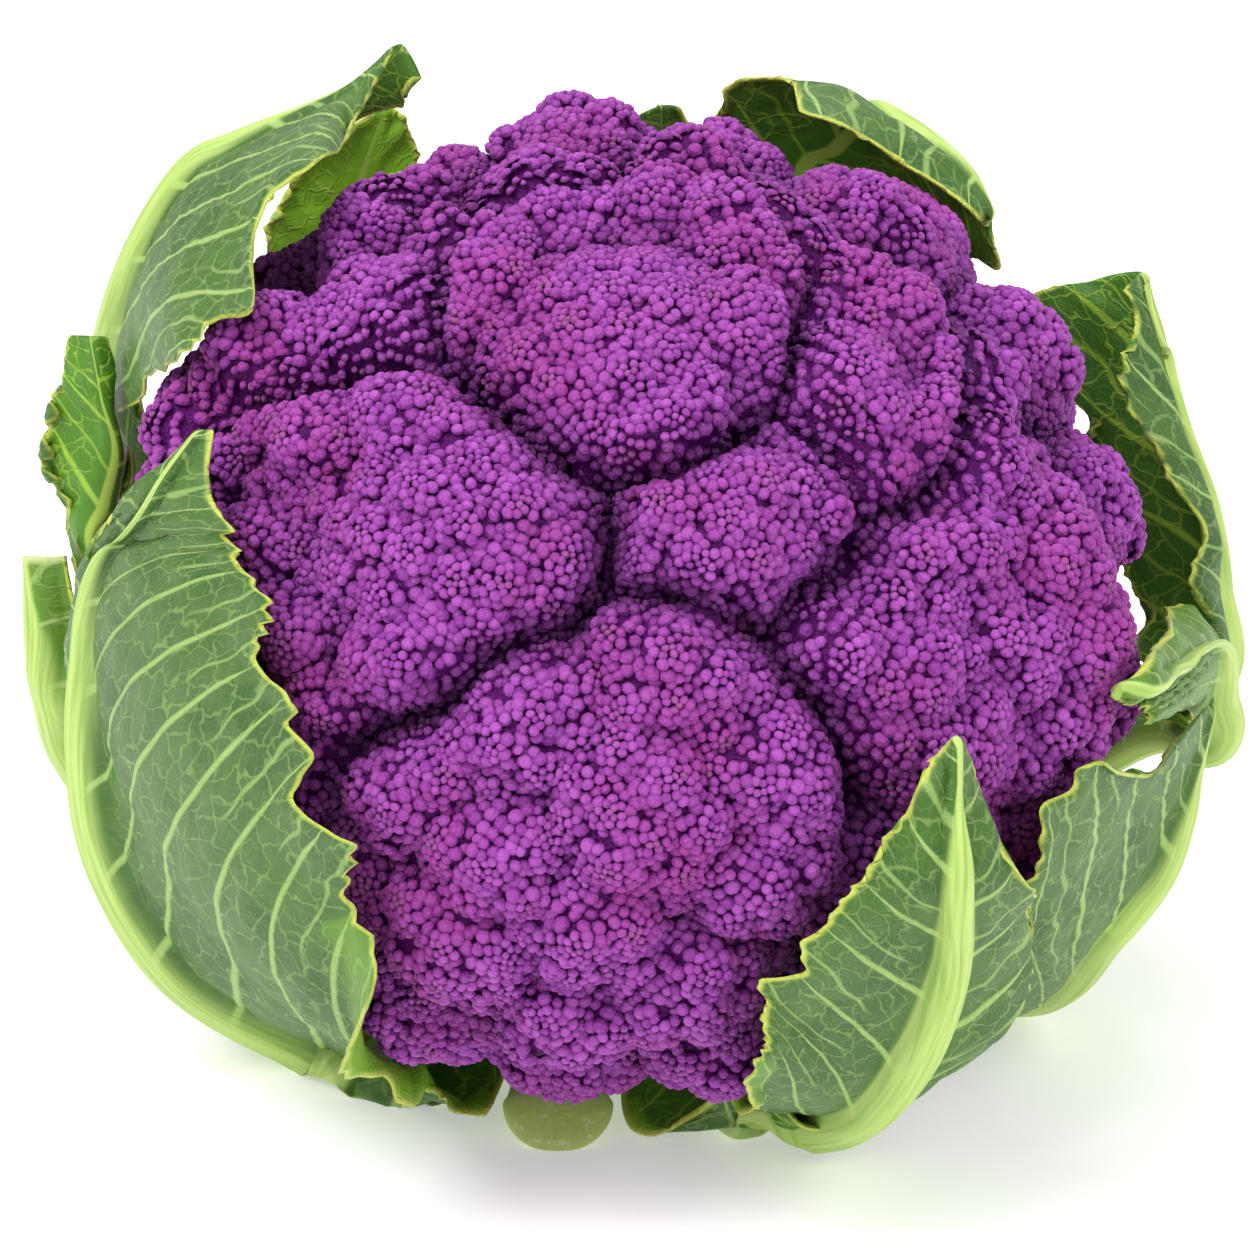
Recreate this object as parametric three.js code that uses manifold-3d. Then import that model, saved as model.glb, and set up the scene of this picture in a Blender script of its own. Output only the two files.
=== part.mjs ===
// Purple cauliflower, as cut: one domed head of crowded florets on a short thick stem, with the
// wrapper leaves that grow from the stem and fold up round the head.
// Millimetres, +Z up. The origin is the middle of the stem's cut face, which lies on the table.
// The head leans towards the viewer, who looks along +Y.
import * as THREE from 'three';
import Module from 'manifold-3d';
import { ConvexHull } from 'three/addons/math/ConvexHull.js';

const wasm = await Module();
wasm.setup();

// Head
const HEAD_CENTRE = new THREE.Vector3(0, -42, 84);
const HEAD_LEAN = THREE.MathUtils.degToRad(35);
const HEAD_RADIUS = 85;
const HEAD_RISE = 72;
const UNDERSIDE_DEPTH = 42;
const UNDERSIDE_DIRECTION = new THREE.Vector3(0, 0.45, -0.89).normalize();
const HEAD_AXIS = new THREE.Vector3(0, -Math.sin(HEAD_LEAN), Math.cos(HEAD_LEAN));

// Florets and their lobes
const HIDDEN_FLORET_RADIUS = 16;
const HIDDEN_FLORET_SINK = 1.5;
const HIDDEN_FLORET_ROOM = 0.6;
const HIDDEN_FLORET_SPOTS = 90;
const LOBE_RADIUS = 8;
const LOBE_LARGEST = 0.6;
const LOBE_CROWDING = 5.2;
const LOBE_SPREAD = 1.35;
const LOBE_SPACING = 7.8;
const LOBE_RELIEF = 2;
const LOBE_BURIED = 1.5;
const VALLEY_DEPTH = 14;
const CREASE_DEPTH = 11;
const CREASE_HALF_WIDTH = 8;

// The net of points that carries the head's surface: chords on a ball of radius 1
const NET_LEAST = 0.026;
const NET_FILL = 0.058;
const NET_CREASE = 0.045;
const NET_RING = 0.052;
const NET_FILL_SPOTS = 3000;

// Stem
const STEM_RADIUS = 22;
const STEM_WAIST = 20.5;
const CROWN_RADIUS = 44;
const CROWN_BRANCHES = 9;
const CROWN_START = 30;
const CROWN_FLARE = 1.4;
const CROWN_FLUTE = 0.09;
const WAIST_HEIGHT = 20;
const STEM_UNEVEN = 0.012;
const STEM_LEVELS = 9;

// Leaves
const BLADE = 0.9;
const LEAF_CLEARANCE = 1.6;
const FIT_GAP = 0.35;
const RIB_HEIGHT = 0.95;
const RIB_SHARE = 0.75;
const RIB_SHOULDER = 0.55;
const FOLD = 0.84;
const RIB_OFF_CENTRE = 0.85;
const CURL_STEPS = 3;
const STEP = 0.004;

const GOLDEN_ANGLE = Math.PI * (3 - Math.sqrt(5));

// A repeatable random number from 0 to 1 for each whole number
function chance(number) {
  const wave = Math.sin(number * 12.9898 + 4.1414) * 43758.5453;
  return wave - Math.floor(wave);
}

// Distance from the head's centre to the smooth dome that just holds every floret
function domeReach(direction) {
  const along = direction.dot(HEAD_AXIS);
  const across2 = 1 - along * along;
  return 1 / Math.sqrt((along / HEAD_RISE) ** 2 + across2 / HEAD_RADIUS ** 2);
}

// The same distance where the flat underside cuts the dome off
function undersideReach(direction, depth) {
  const down = direction.dot(UNDERSIDE_DIRECTION);
  return down > 0.05 ? depth / down : Infinity;
}

// Unit vector from a bearing (0 faces the viewer, positive to the right) and a height, in degrees
function towards(bearing, height) {
  const turn = THREE.MathUtils.degToRad(bearing);
  const rise = THREE.MathUtils.degToRad(height);
  return new THREE.Vector3(
    Math.cos(rise) * Math.sin(turn),
    -Math.cos(rise) * Math.cos(turn),
    Math.sin(rise),
  );
}

// Florets seen from the front: bearing, height, radius, and how far each is sunk below the dome
const SEEN_FLORETS = [
  [-5, 58, 30, 0], [-30, 24, 32, 0], [14, 30, 21.5, 0], [-1, -5, 36, 5], [40, 9, 30, 3],
  [7, 46, 15, 0], [32, 58, 15, 0], [-29, 12, 15, 0], [43, 45, 21, 0], [38, 32, 12, 0],
  [-14, 6, 18, 0], [5, 12, 20, 0], [18, -1, 17, 0], [1, -5, 20, -1], [-16, -10, 15, 0],
  [-5, -18, 17, 0], [-26, -4, 15, 1], [-22, -23, 17, 0], [-9, -35, 14, 0], [7, -28, 17, 0],
  [15, -13, 14, 0], [48, 20, 18, 0], [27, 13, 13, 0], [36, 8, 18, 0], [53, 7, 18, 0],
  [41, -2, 16, 0], [31, 1, 12, 2], [53, -5, 13, 1], [71, 39, 14, 0], [59, 30, 18, 0],
  [64, 19, 15, 0], [-91, 77, 20, 0], [-71, 67, 13, 0], [54, 87, 13, 0], [71, 73, 17, 0],
  [63, 60, 15, 0], [138, 78, 10, 0], [67, 51, 12, 0], [-66, 50, 22, 0], [-57, 62, 15, 0],
  [-69, 36, 16, 0], [-75, 27, 13, 0], [-45, 41, 14, 0], [-56, 34, 12, 0], [-46, 11, 12, 3],
  [-38, 2, 13, 3], [-57, 19, 14, 3], [-48, -8, 15, 4], [-39, -19, 16, 4], [29, -17, 15, 4],
  [41, -17, 15, 4], [-68, 3, 14, 3], [-77, 36, 15, -4], [-76, 25, 13, -4], [-75, 15, 13, -3],
  [61, 14, 13, -4], [61, 7, 13, -5], [58, -1, 13, -3],
];

// Deep creases between the big mounds of florets: bearing and height in degrees of points along each
const CREASES = [
  [[-52, 55], [-43, 50], [-28, 47], [-16, 41], [-4, 38]],
  [[-4, 38], [7, 39], [19, 43], [29, 46]],
  [[-4, 38], [-3, 30], [-4, 22]],
  [[-4, 22], [-10, 17], [-18, 14], [-23, 8], [-31, 3], [-36, 0]],
  [[-4, 22], [6, 22], [14, 18], [19, 15]],
  [[19, 15], [24, 20], [32, 23], [36, 29]],
  [[29, 46], [42, 55], [61, 62], [73, 71]],
  [[29, 46], [36, 36], [36, 29]],
  [[36, 29], [47, 28], [57, 33], [67, 39], [80, 46], [91, 55]],
  [[19, 15], [23, 8], [27, 0], [28, -7]],
  [[-52, 55], [-63, 62], [-75, 69], [-78, 75]],
  [[-108, 59], [-89, 70], [-78, 75]],
  [[-78, 75], [-79, 81], [-124, 89], [128, 82]],
  [[128, 82], [97, 77], [73, 71]],
  [[-43, 50], [-54, 47], [-60, 41], [-71, 33], [-73, 27]],
].flatMap((points) => points.slice(1).map((point, index) =>
  new THREE.Line3(towards(...points[index]), towards(...point))));

// How far the surface dips into the nearest crease
function creaseDip(direction) {
  const nearest = new THREE.Vector3();
  const gaps = CREASES.map((line) =>
    line.closestPointToPoint(direction, true, nearest).distanceTo(direction) * HEAD_RADIUS);
  const near = Math.max(0, 1 - Math.min(...gaps) / CREASE_HALF_WIDTH);
  return CREASE_DEPTH * near * near;
}

function floret(direction, radius, sink) {
  const centre = direction.clone().multiplyScalar(domeReach(direction) - radius - sink);
  return { direction, radius, centre };
}

// Every floret of the head: the seen ones, then even spots on the dome wherever none stands yet
function allFlorets() {
  const florets = SEEN_FLORETS.map(([bearing, height, radius, sink]) =>
    floret(towards(bearing, height), radius, sink));
  for (const [spot, direction] of evenSpots(HIDDEN_FLORET_SPOTS).entries()) {
    const radius = HIDDEN_FLORET_RADIUS * (0.8 + 0.35 * chance(spot));
    const outer = direction.clone().multiplyScalar(domeReach(direction));
    const free = florets.every((other) =>
      outer.distanceTo(other.direction.clone().multiplyScalar(domeReach(other.direction)))
        > other.radius + HIDDEN_FLORET_ROOM * radius);
    if (free) {
      florets.push(floret(direction, radius, HIDDEN_FLORET_SINK * chance(spot + 200)));
    }
  }
  return florets;
}

// Lobes crowd over each floret in a spiral. One that is buried in a neighbour is left out.
function allLobes(florets) {
  const lobes = [];
  for (const [index, one] of florets.entries()) {
    const count = Math.round(LOBE_CROWDING * (one.radius / LOBE_RADIUS) ** 2);
    const side = new THREE.Vector3(0, 0, 1).cross(one.direction).normalize();
    const up = one.direction.clone().cross(side);
    for (let number = 0; number < count; number += 1) {
      const level = 1 - (LOBE_SPREAD * (number + 0.5)) / count;
      const ring = Math.sqrt(1 - level * level);
      const turn = number * GOLDEN_ANGLE + index;
      const away = one.direction.clone().multiplyScalar(level)
        .addScaledVector(side, ring * Math.cos(turn))
        .addScaledVector(up, ring * Math.sin(turn));
      const usual = LOBE_RADIUS * (0.85 + 0.3 * chance(index * 50 + number));
      const radius = Math.min(usual, one.radius * LOBE_LARGEST);
      const centre = one.centre.clone().addScaledVector(away, one.radius - radius);
      const tip = centre.clone().addScaledVector(centre.clone().normalize(), radius);
      const buried = florets.some((other) => other !== one
        && tip.distanceTo(other.centre) < other.radius - LOBE_BURIED);
      const crowded = lobes.some((other) => tip.distanceTo(other.tip) < LOBE_SPACING);
      if (!buried && !crowded) {
        lobes.push({ centre, radius, tip });
      }
    }
  }
  return lobes;
}

// Farthest point of a ray from the head's centre through a ball, or 0 where it misses
function rayReach(direction, ball) {
  const along = direction.dot(ball.centre);
  const miss = ball.centre.lengthSq() - along * along;
  const inside = ball.radius * ball.radius - miss;
  return inside > 0 && along > 0 ? along + Math.sqrt(inside) : 0;
}

// The triangles that join points lying on a ball into one closed net, each as its three points
function roundFaces(points) {
  const hull = new ConvexHull().setFromPoints(points);
  return hull.faces.map((face) =>
    [face.edge, face.edge.next, face.edge.next.next].map((edge) => edge.head().point));
}

// Points of a round net: along the creases, each lobe's tip, a ring about it, and the valleys between
function netDirections(lobes) {
  const tips = lobes.map((lobe) => lobe.tip.clone().normalize());
  const points = [];
  for (const line of CREASES) {
    const steps = Math.ceil(line.distance() / NET_CREASE);
    for (let step = 0; step <= steps; step += 1) {
      points.push(line.at(step / steps, new THREE.Vector3()).normalize());
    }
  }
  points.push(...tips);
  const ringSteps = 6;
  for (const [index, tip] of tips.entries()) {
    const side = new THREE.Vector3(0, 0.3, 1).cross(tip).normalize();
    const up = tip.clone().cross(side);
    for (let step = 0; step < ringSteps; step += 1) {
      const turn = (step + chance(index)) * 2 * Math.PI / ringSteps;
      points.push(tip.clone()
        .addScaledVector(side, NET_RING * Math.cos(turn))
        .addScaledVector(up, NET_RING * Math.sin(turn)).normalize());
    }
  }
  for (const corners of roundFaces(tips)) {
    points.push(corners[0].clone().add(corners[1]).add(corners[2]).normalize());
  }
  return spaced(evenSpots(NET_FILL_SPOTS), NET_FILL, spaced(points, NET_LEAST, []));
}

// Even spots all over a ball, on a spiral
function evenSpots(count) {
  return Array.from({ length: count }, (unused, spot) => {
    const level = 1 - (2 * spot + 1) / count;
    const ring = Math.sqrt(1 - level * level);
    const turn = spot * GOLDEN_ANGLE;
    return new THREE.Vector3(ring * Math.cos(turn), ring * Math.sin(turn), level);
  });
}

// The kept points, and each further point that lies at least so far from every one kept before it
function spaced(points, least, kept) {
  const all = [...kept];
  for (const point of points) {
    if (all.every((other) => other.distanceToSquared(point) >= least * least)) {
      all.push(point);
    }
  }
  return all;
}

// The head of florets, one body: lobes raised all over the dome, cut off flat underneath
function makeCurd() {
  const florets = allFlorets();
  const lobes = allLobes(florets);
  const bodies = florets.map((one) => ({ centre: one.centre, radius: one.radius - LOBE_RELIEF }));
  const balls = [...bodies, ...lobes];
  const directions = netDirections(lobes);
  const numbers = new Map(directions.map((direction, index) => [direction, index]));
  const positions = [];
  for (const direction of directions) {
    const valley = domeReach(direction) - VALLEY_DEPTH;
    const bumps = Math.max(valley, ...balls.map((ball) => rayReach(direction, ball)))
      - creaseDip(direction);
    const reach = Math.min(bumps, undersideReach(direction, UNDERSIDE_DEPTH));
    positions.push(...direction.clone().multiplyScalar(reach).add(HEAD_CENTRE).toArray());
  }
  const triangles = roundFaces(directions).flat().map((point) => numbers.get(point));
  return meshGeometry(positions, triangles);
}

function meshGeometry(positions, triangles) {
  const geometry = new THREE.BufferGeometry();
  geometry.setAttribute('position', new THREE.Float32BufferAttribute(positions, 3));
  geometry.setIndex(triangles);
  geometry.computeVertexNormals();
  return geometry;
}

function solid(geometry) {
  return new wasm.Manifold(new wasm.Mesh({
    numProp: 3,
    vertProperties: new Float32Array(geometry.attributes.position.array),
    triVerts: new Uint32Array(geometry.index.array),
  }));
}

function fromSolid(body) {
  const mesh = body.getMesh();
  return meshGeometry(Array.from(mesh.vertProperties), Array.from(mesh.triVerts));
}

// The stem: an oblique round stump from its cut face on the table up to the head, where it opens
// into a crown of thick branches. grow makes the same shape fatter all round, to clear the leaves' feet.
function stemGeometry(grow) {
  const axis = UNDERSIDE_DIRECTION.clone().negate();
  const side = new THREE.Vector3(1, 0, 0);
  const back = axis.clone().cross(side);
  const top = axis.dot(HEAD_CENTRE) - UNDERSIDE_DEPTH - FIT_GAP + 3 * grow;
  const floor = -4 * grow;
  const sides = CROWN_BRANCHES * 5;
  const positions = [0, 0, floor];
  for (let level = 0; level <= STEM_LEVELS; level += 1) {
    for (let step = 0; step < sides; step += 1) {
      const turn = (step / sides) * Math.PI * 2;
      const across = side.clone().multiplyScalar(Math.cos(turn)).addScaledVector(back, Math.sin(turn));
      const foot = (floor - across.z * STEM_RADIUS) / axis.z;
      const height = foot + (top - foot) * (level / STEM_LEVELS);
      const waist = STEM_RADIUS + (STEM_WAIST - STEM_RADIUS) * Math.min(1, height / WAIST_HEIGHT);
      const open = Math.max(0, (height - CROWN_START) / (top - CROWN_START));
      const flute = 1 + CROWN_FLUTE * open * Math.cos(CROWN_BRANCHES * turn)
        + STEM_UNEVEN * Math.cos(5 * turn);
      const radius = (waist + (CROWN_RADIUS - STEM_WAIST) * open ** CROWN_FLARE) * flute + grow;
      const point = across.multiplyScalar(radius).addScaledVector(axis, height);
      if (level === 0) {
        point.z = floor;
      }
      positions.push(...point.toArray());
    }
  }
  positions.push(...axis.clone().multiplyScalar(top).toArray());
  const last = positions.length / 3 - 1;
  const triangles = [];
  for (let step = 0; step < sides; step += 1) {
    const next = (step + 1) % sides;
    triangles.push(0, 1 + next, 1 + step);
    for (let level = 0; level < STEM_LEVELS; level += 1) {
      const a = 1 + level * sides + step;
      const b = 1 + level * sides + next;
      triangles.push(a, b, b + sides, a, b + sides, a + sides);
    }
    triangles.push(last, 1 + STEM_LEVELS * sides + step, 1 + STEM_LEVELS * sides + next);
  }
  return meshGeometry(positions, triangles);
}

// A smooth curve through hand-chosen points, at v from 0 to 1
function curveAt(points, v) {
  const count = points.length - 1;
  const place = Math.min(v * count, count - 1e-9);
  const index = Math.floor(place);
  const t = place - index;
  const pick = (number) => {
    if (number < 0) {
      return points[0].map((value, axis) => 2 * value - points[1][axis]);
    }
    if (number > count) {
      return points[count].map((value, axis) => 2 * value - points[count - 1][axis]);
    }
    return points[number];
  };
  const [a, b, c, d] = [pick(index - 1), pick(index), pick(index + 1), pick(index + 2)];
  return new THREE.Vector3(...[0, 1, 2].map((axis) => 0.5 * (2 * b[axis] + (c[axis] - a[axis]) * t
    + (2 * a[axis] - 5 * b[axis] + 4 * c[axis] - d[axis]) * t ** 2
    + (3 * b[axis] - a[axis] - 3 * c[axis] + d[axis]) * t ** 3)));
}

// Wrapper leaves. Each row crosses the leaf from its left edge over the midrib to its right edge,
// and the rows run from the foot in the stem to the tip. rib gives the midrib's half width at the
// foot, the middle and the tip; waves and lobes give how often the blade ripples and its edge scallops.
// curls lists the edges that turn over outwards, with the stretch of v and the degrees.
const LEAVES = {
  leaf_front_left: {
    colour: 0x8fb28a,
    rib: [6.5, 5.2, 0.8],
    ripple: 1.2,
    waves: 4,
    scallop: 0.05,
    lobes: 8,
    steps: 3,
    curls: [{ side: 1, from: 0.1, to: 0.42, turn: 140 }],
    rows: [
      [[-20, -12, 16], [-17, -17, 11], [-12, -20, 16]],
      [[-38, -73, 16], [-37, -55, 5], [-23, -71, 7]],
      [[-64, -32, 18], [-57, -43, 6], [-29, -75, 17]],
      [[-76, -32, 28], [-74, -49, 21], [-34, -110, 45]],
      [[-83, -32, 48], [-84, -50, 40], [-40, -120, 70]],
      [[-86, -34, 64], [-87, -51, 59], [-46, -116, 84]],
      [[-90, -36, 68], [-86, -55, 78], [-52, -108, 98]],
      [[-88, -47, 87], [-81, -62, 98], [-55, -99, 110]],
      [[-78, -70, 111], [-72, -79, 116], [-62, -90, 117]],
      [[-66, -77, 126], [-65, -80, 127], [-63, -80, 127]],
    ],
  },
  leaf_front_right: {
    colour: 0x8fb28a,
    rib: [6, 4.6, 0.8],
    ripple: 1.2,
    waves: 4,
    scallop: 0.05,
    lobes: 7,
    steps: 3,
    curls: [{ side: -1, from: 0.1, to: 0.4, turn: 110 }],
    rows: [
      [[2, -24, 13], [9, -20, 9], [17, -13, 13]],
      [[-1, -69, 3], [17, -70, 5], [25, -85, 12]],
      [[13, -77, 12], [30, -75, 6], [40, -76, 8]],
      [[18, -121, 42], [37, -92, 18], [51, -77, 17]],
      [[18, -126, 53], [44, -104, 35], [60, -90, 33]],
      [[25, -126, 65], [48, -113, 54], [62, -97, 51]],
      [[36, -122, 76], [48, -123, 72], [59, -112, 68]],
      [[42, -118, 88], [47, -119, 83], [53, -112, 81]],
      [[47, -114, 91], [48, -115, 92], [49, -113, 90]],
    ],
  },
  leaf_right: {
    colour: 0x86aa7c,
    rib: [5.5, 4, 0.8],
    ripple: 0.8,
    waves: 3,
    scallop: 0.04,
    lobes: 6,
    steps: 3,
    curls: [],
    rows: [
      [[20, -16, 15], [23, -8, 10], [21, 1, 15]],
      [[42, -28, 10], [44, -14, 5], [44, 0, 10]],
      [[58, -54, 14], [68, -30, 7], [72, -10, 18]],
      [[60, -93, 48], [77, -52, 29], [82, -24, 34]],
      [[59, -101, 65], [85, -49, 38], [88, -32, 43]],
      [[63, -100, 75], [89, -45, 46], [92, -34, 49]],
      [[70, -95, 78], [91, -41, 52], [94, -33, 54]],
      [[79, -81, 70], [93, -38, 57], [95, -32, 58]],
      [[94, -37, 62], [95, -35, 62], [96, -32, 62]],
    ],
  },
  leaf_right_trimmed: {
    colour: 0xa9c58d,
    rib: [5, 4.4, 1.2],
    ripple: 0.8,
    waves: 3,
    scallop: 0.04,
    lobes: 5,
    steps: 3,
    curls: [],
    rows: [
      [[20, -4, 28], [23, 3, 24], [19, 9, 28]],
      [[50, -6, 24], [52, 4, 18], [50, 14, 24]],
      [[83, -9, 50], [87, -2, 42], [82, 7, 50]],
      [[93, -19, 47], [98, -12, 45], [97, -6, 42]],
      [[92, -26, 56], [98, -15, 55], [97, -3, 58]],
      [[80, -83, 80], [95, -31, 70], [89, -17, 72]],
      [[74, -90, 86], [80, -83, 87], [80, -80, 90]],
      [[73, -90, 87], [73, -91, 88], [73, -89, 88]],
    ],
  },
  leaf_right_rear: {
    colour: 0x4f8530,
    rib: [5.5, 3.4, 0.8],
    ripple: 1.2,
    waves: 4,
    scallop: 0.04,
    lobes: 7,
    steps: 3,
    curls: [],
    rows: [
      [[18, 6, 14], [19, 14, 10], [12, 19, 14]],
      [[46, 16, 12], [44, 27, 8], [34, 34, 12]],
      [[76, 12, 30], [76, 26, 24], [64, 36, 32]],
      [[100, 1, 47], [100, 10, 45], [85, 7, 46]],
      [[95, -5, 69], [99, 4, 66], [83, 12, 64]],
      [[93, -6, 82], [97, 6, 80], [79, 14, 77]],
      [[83, 0, 101], [92, 8, 95], [73, 18, 91]],
      [[82, 8, 116], [89, 12, 109], [66, 24, 111]],
      [[83, 13, 117], [86, 16, 119], [76, 23, 114]],
    ],
  },
  leaf_rear_right: {
    colour: 0x86aa7c,
    rib: [5.5, 3.4, 0.9],
    ripple: 0.8,
    waves: 4,
    scallop: 0.04,
    lobes: 8,
    steps: 2,
    curls: [],
    rows: [
      [[1, 18, 30], [8, 17, 25], [14, 11, 30]],
      [[10, 42, 34], [22, 42, 28], [32, 34, 34]],
      [[18, 57, 70], [36, 56, 66], [56, 42, 70]],
      [[10, 43, 125], [29, 40, 124], [60, 34, 104]],
      [[14, 33, 144], [35, 32, 136], [51, 35, 118]],
      [[24, 22, 152], [40, 24, 143], [52, 31, 117]],
      [[28, -3, 151], [44, 17, 144], [54, 25, 116]],
      [[38, -3, 145], [50, 11, 142], [55, 15, 117]],
      [[48, -4, 138], [55, 5, 139], [57, 5, 119]],
      [[54, -5, 134], [58, 1, 135], [59, 1, 123]],
      [[58, 1, 133], [59, 2, 132], [60, 3, 129]],
    ],
  },
  leaf_rear: {
    colour: 0x86aa7c,
    rib: [6, 3.8, 0.7],
    ripple: 1.4,
    waves: 3,
    scallop: 0.05,
    lobes: 6,
    steps: 4,
    curls: [],
    rows: [
      [[8, 18, 14], [0, 22, 9], [-8, 18, 14]],
      [[16, 38, 16], [0, 42, 10], [-14, 38, 16]],
      [[22, 61, 44], [2, 66, 40], [-24, 58, 42]],
      [[28, 65, 78], [3, 69, 74], [-30, 58, 76]],
      [[26, 58, 106], [5, 61, 104], [-24, 48, 106]],
      [[16, 49, 126], [5, 50, 126], [-12, 41, 126]],
      [[9, 40, 140], [5, 39, 141], [0, 37, 139]],
    ],
  },
  leaf_rear_left: {
    colour: 0x84b52a,
    rib: [5, 3, 0.7],
    ripple: 1.0,
    waves: 3,
    scallop: 0.05,
    lobes: 5,
    steps: 3,
    curls: [],
    rows: [
      [[-2, 18, 30], [-9, 16, 25], [-15, 10, 30]],
      [[-10, 42, 34], [-24, 38, 28], [-34, 30, 34]],
      [[-14, 54, 74], [-38, 46, 68], [-60, 28, 74]],
      [[-40, 41, 121], [-51, 40, 114], [-64, 32, 115]],
      [[-37, 37, 132], [-47, 39, 127], [-60, 35, 126]],
      [[-37, 32, 140], [-44, 37, 136], [-52, 35, 136]],
      [[-40, 33, 142], [-42, 35, 142], [-45, 35, 140]],
    ],
  },
  leaf_left_rear: {
    colour: 0x8fb28a,
    rib: [5.5, 4.2, 0.8],
    ripple: 0.8,
    waves: 4,
    scallop: 0.04,
    lobes: 8,
    steps: 2,
    curls: [],
    rows: [
      [[-12, 17, 14], [-19, 12, 9], [-20, 4, 14]],
      [[-32, 32, 14], [-44, 22, 8], [-46, 10, 12]],
      [[-60, 44, 44], [-74, 30, 36], [-82, 16, 42]],
      [[-84, 35, 85], [-90, 21, 85], [-90, 14, 89]],
      [[-82, 33, 102], [-87, 16, 106], [-80, -19, 108]],
      [[-75, 28, 116], [-81, 10, 124], [-69, -62, 132]],
      [[-67, 26, 127], [-73, 9, 138], [-60, -65, 140]],
      [[-59, 23, 134], [-65, 9, 143], [-56, -47, 149]],
      [[-50, 19, 140], [-54, 9, 148], [-48, -40, 156]],
      [[-40, 17, 146], [-46, 11, 152], [-45, 1, 150]],
      [[-34, 16, 150], [-38, 18, 158], [-40, 13, 157]],
    ],
  },
  leaf_left: {
    colour: 0x4f8530,
    rib: [5, 2.8, 0.7],
    ripple: 1.2,
    waves: 3,
    scallop: 0.05,
    lobes: 5,
    steps: 3,
    curls: [],
    rows: [
      [[-17, 10, 29], [-21, 4, 25], [-21, -4, 29]],
      [[-42, 16, 26], [-46, 4, 20], [-48, -8, 24]],
      [[-68, 18, 54], [-80, 2, 46], [-86, -12, 50]],
      [[-88, -3, 74], [-90, -9, 77], [-95, -2, 76]],
      [[-87, -1, 83], [-88, -9, 87], [-98, -3, 88]],
      [[-85, 0, 92], [-86, -8, 96], [-99, -1, 99]],
      [[-86, -2, 102], [-88, -7, 105], [-96, -1, 107]],
      [[-87, 0, 113], [-90, -2, 114], [-95, 1, 113]],
    ],
  },
  leaf_left_trimmed: {
    colour: 0xc2d488,
    rib: [6, 5.6, 5.4],
    ripple: 0.4,
    waves: 2,
    scallop: 0.03,
    lobes: 4,
    steps: 2,
    curls: [],
    rows: [
      [[-20, 0, 14], [-23, -7, 9], [-20, -13, 14]],
      [[-46, 0, 12], [-50, -8, 7], [-48, -17, 12]],
      [[-74, 4, 22], [-75, -5, 16], [-74, -18, 22]],
      [[-89, 3, 40], [-92, -8, 38], [-87, -18, 42]],
      [[-98, -7, 54], [-96, -13, 55], [-94, -22, 53]],
      [[-100, -1, 62], [-97, -9, 65], [-92, -15, 65]],
      [[-99, 1, 73], [-97, -6, 76], [-94, -13, 79]],
    ],
  },
};

// Half width of the midrib at v, from three values: foot, middle and tip
function ribHalf(leaf, v) {
  const [foot, middle, tip] = leaf.rib;
  return v < 0.5 ? foot + (middle - foot) * 2 * v : middle + (tip - middle) * (2 * v - 1);
}

// Half the blade's width at v, straight across
function bladeHalf(leaf, v) {
  const [left, , right] = edgesAt(leaf, v);
  return left.distanceTo(right) / 2;
}

// Left edge, rib and right edge at v
function edgesAt(leaf, v) {
  return [0, 1, 2].map((side) => curveAt(leaf.rows.map((row) => row[side]), v));
}

// The blade's middle surface before its edges curl, at u from -1 (left edge) to 1 (right edge)
// and v from foot to tip. Each row is a shallow arc, drawn out further on the side where the blade is
// wider, and the surface is then lifted wherever it would sink into the head.
function openBlade(leaf, u, v) {
  const [left, rib, right] = edgesAt(leaf, v);
  const spread = right.clone().sub(left).multiplyScalar(0.5);
  const cup = right.clone().add(left).multiplyScalar(0.5).sub(rib);
  const sideways = cup.dot(spread) / spread.lengthSq();
  const bend = Math.max(1, Math.min(2, RIB_OFF_CENTRE / Math.abs(sideways)));
  cup.addScaledVector(spread, -sideways);
  const open = Math.min(1, 4 * v) * Math.min(1, 12 * (1 - v));
  const bite = Math.sin(2 * Math.PI * leaf.lobes * v + 2 * u);
  const scallop = 1 + leaf.scallop * open * Math.abs(u) ** 6 * bite;
  const at = u * scallop;
  const across = at + sideways * Math.abs(at) ** bend;
  const point = rib.addScaledVector(spread, across).addScaledVector(cup, at * at);
  const away = point.clone().sub(HEAD_CENTRE);
  const direction = away.clone().normalize();
  const ripple = leaf.ripple * open * u * u * Math.sin(2 * Math.PI * leaf.waves * v + 1.7 * u);
  const least = Math.min(domeReach(direction), undersideReach(direction, UNDERSIDE_DEPTH + 1));
  const reach = Math.max(away.length() + ripple, least + LEAF_CLEARANCE);
  return HEAD_CENTRE.clone().addScaledVector(direction, reach);
}

// Unit vector out of a surface's outer face, the side that turns away from the head
function outward(surface, leaf, u, v, sign) {
  const across = surface(leaf, u + STEP, v, sign).sub(surface(leaf, u - STEP, v, sign));
  const low = surface(leaf, u, Math.max(0, v - STEP), sign);
  const high = surface(leaf, u, Math.min(1, v + STEP), sign);
  return across.cross(high.sub(low)).normalize().multiplyScalar(sign);
}

// Which way round the rows run: 1 where left to right crossed with foot to tip points outwards
function leafSign(leaf) {
  const middle = openBlade(leaf, 0, 0.6).sub(HEAD_CENTRE);
  return outward(openBlade, leaf, 0, 0.6, 1).dot(middle) > 0 ? 1 : -1;
}

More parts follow.
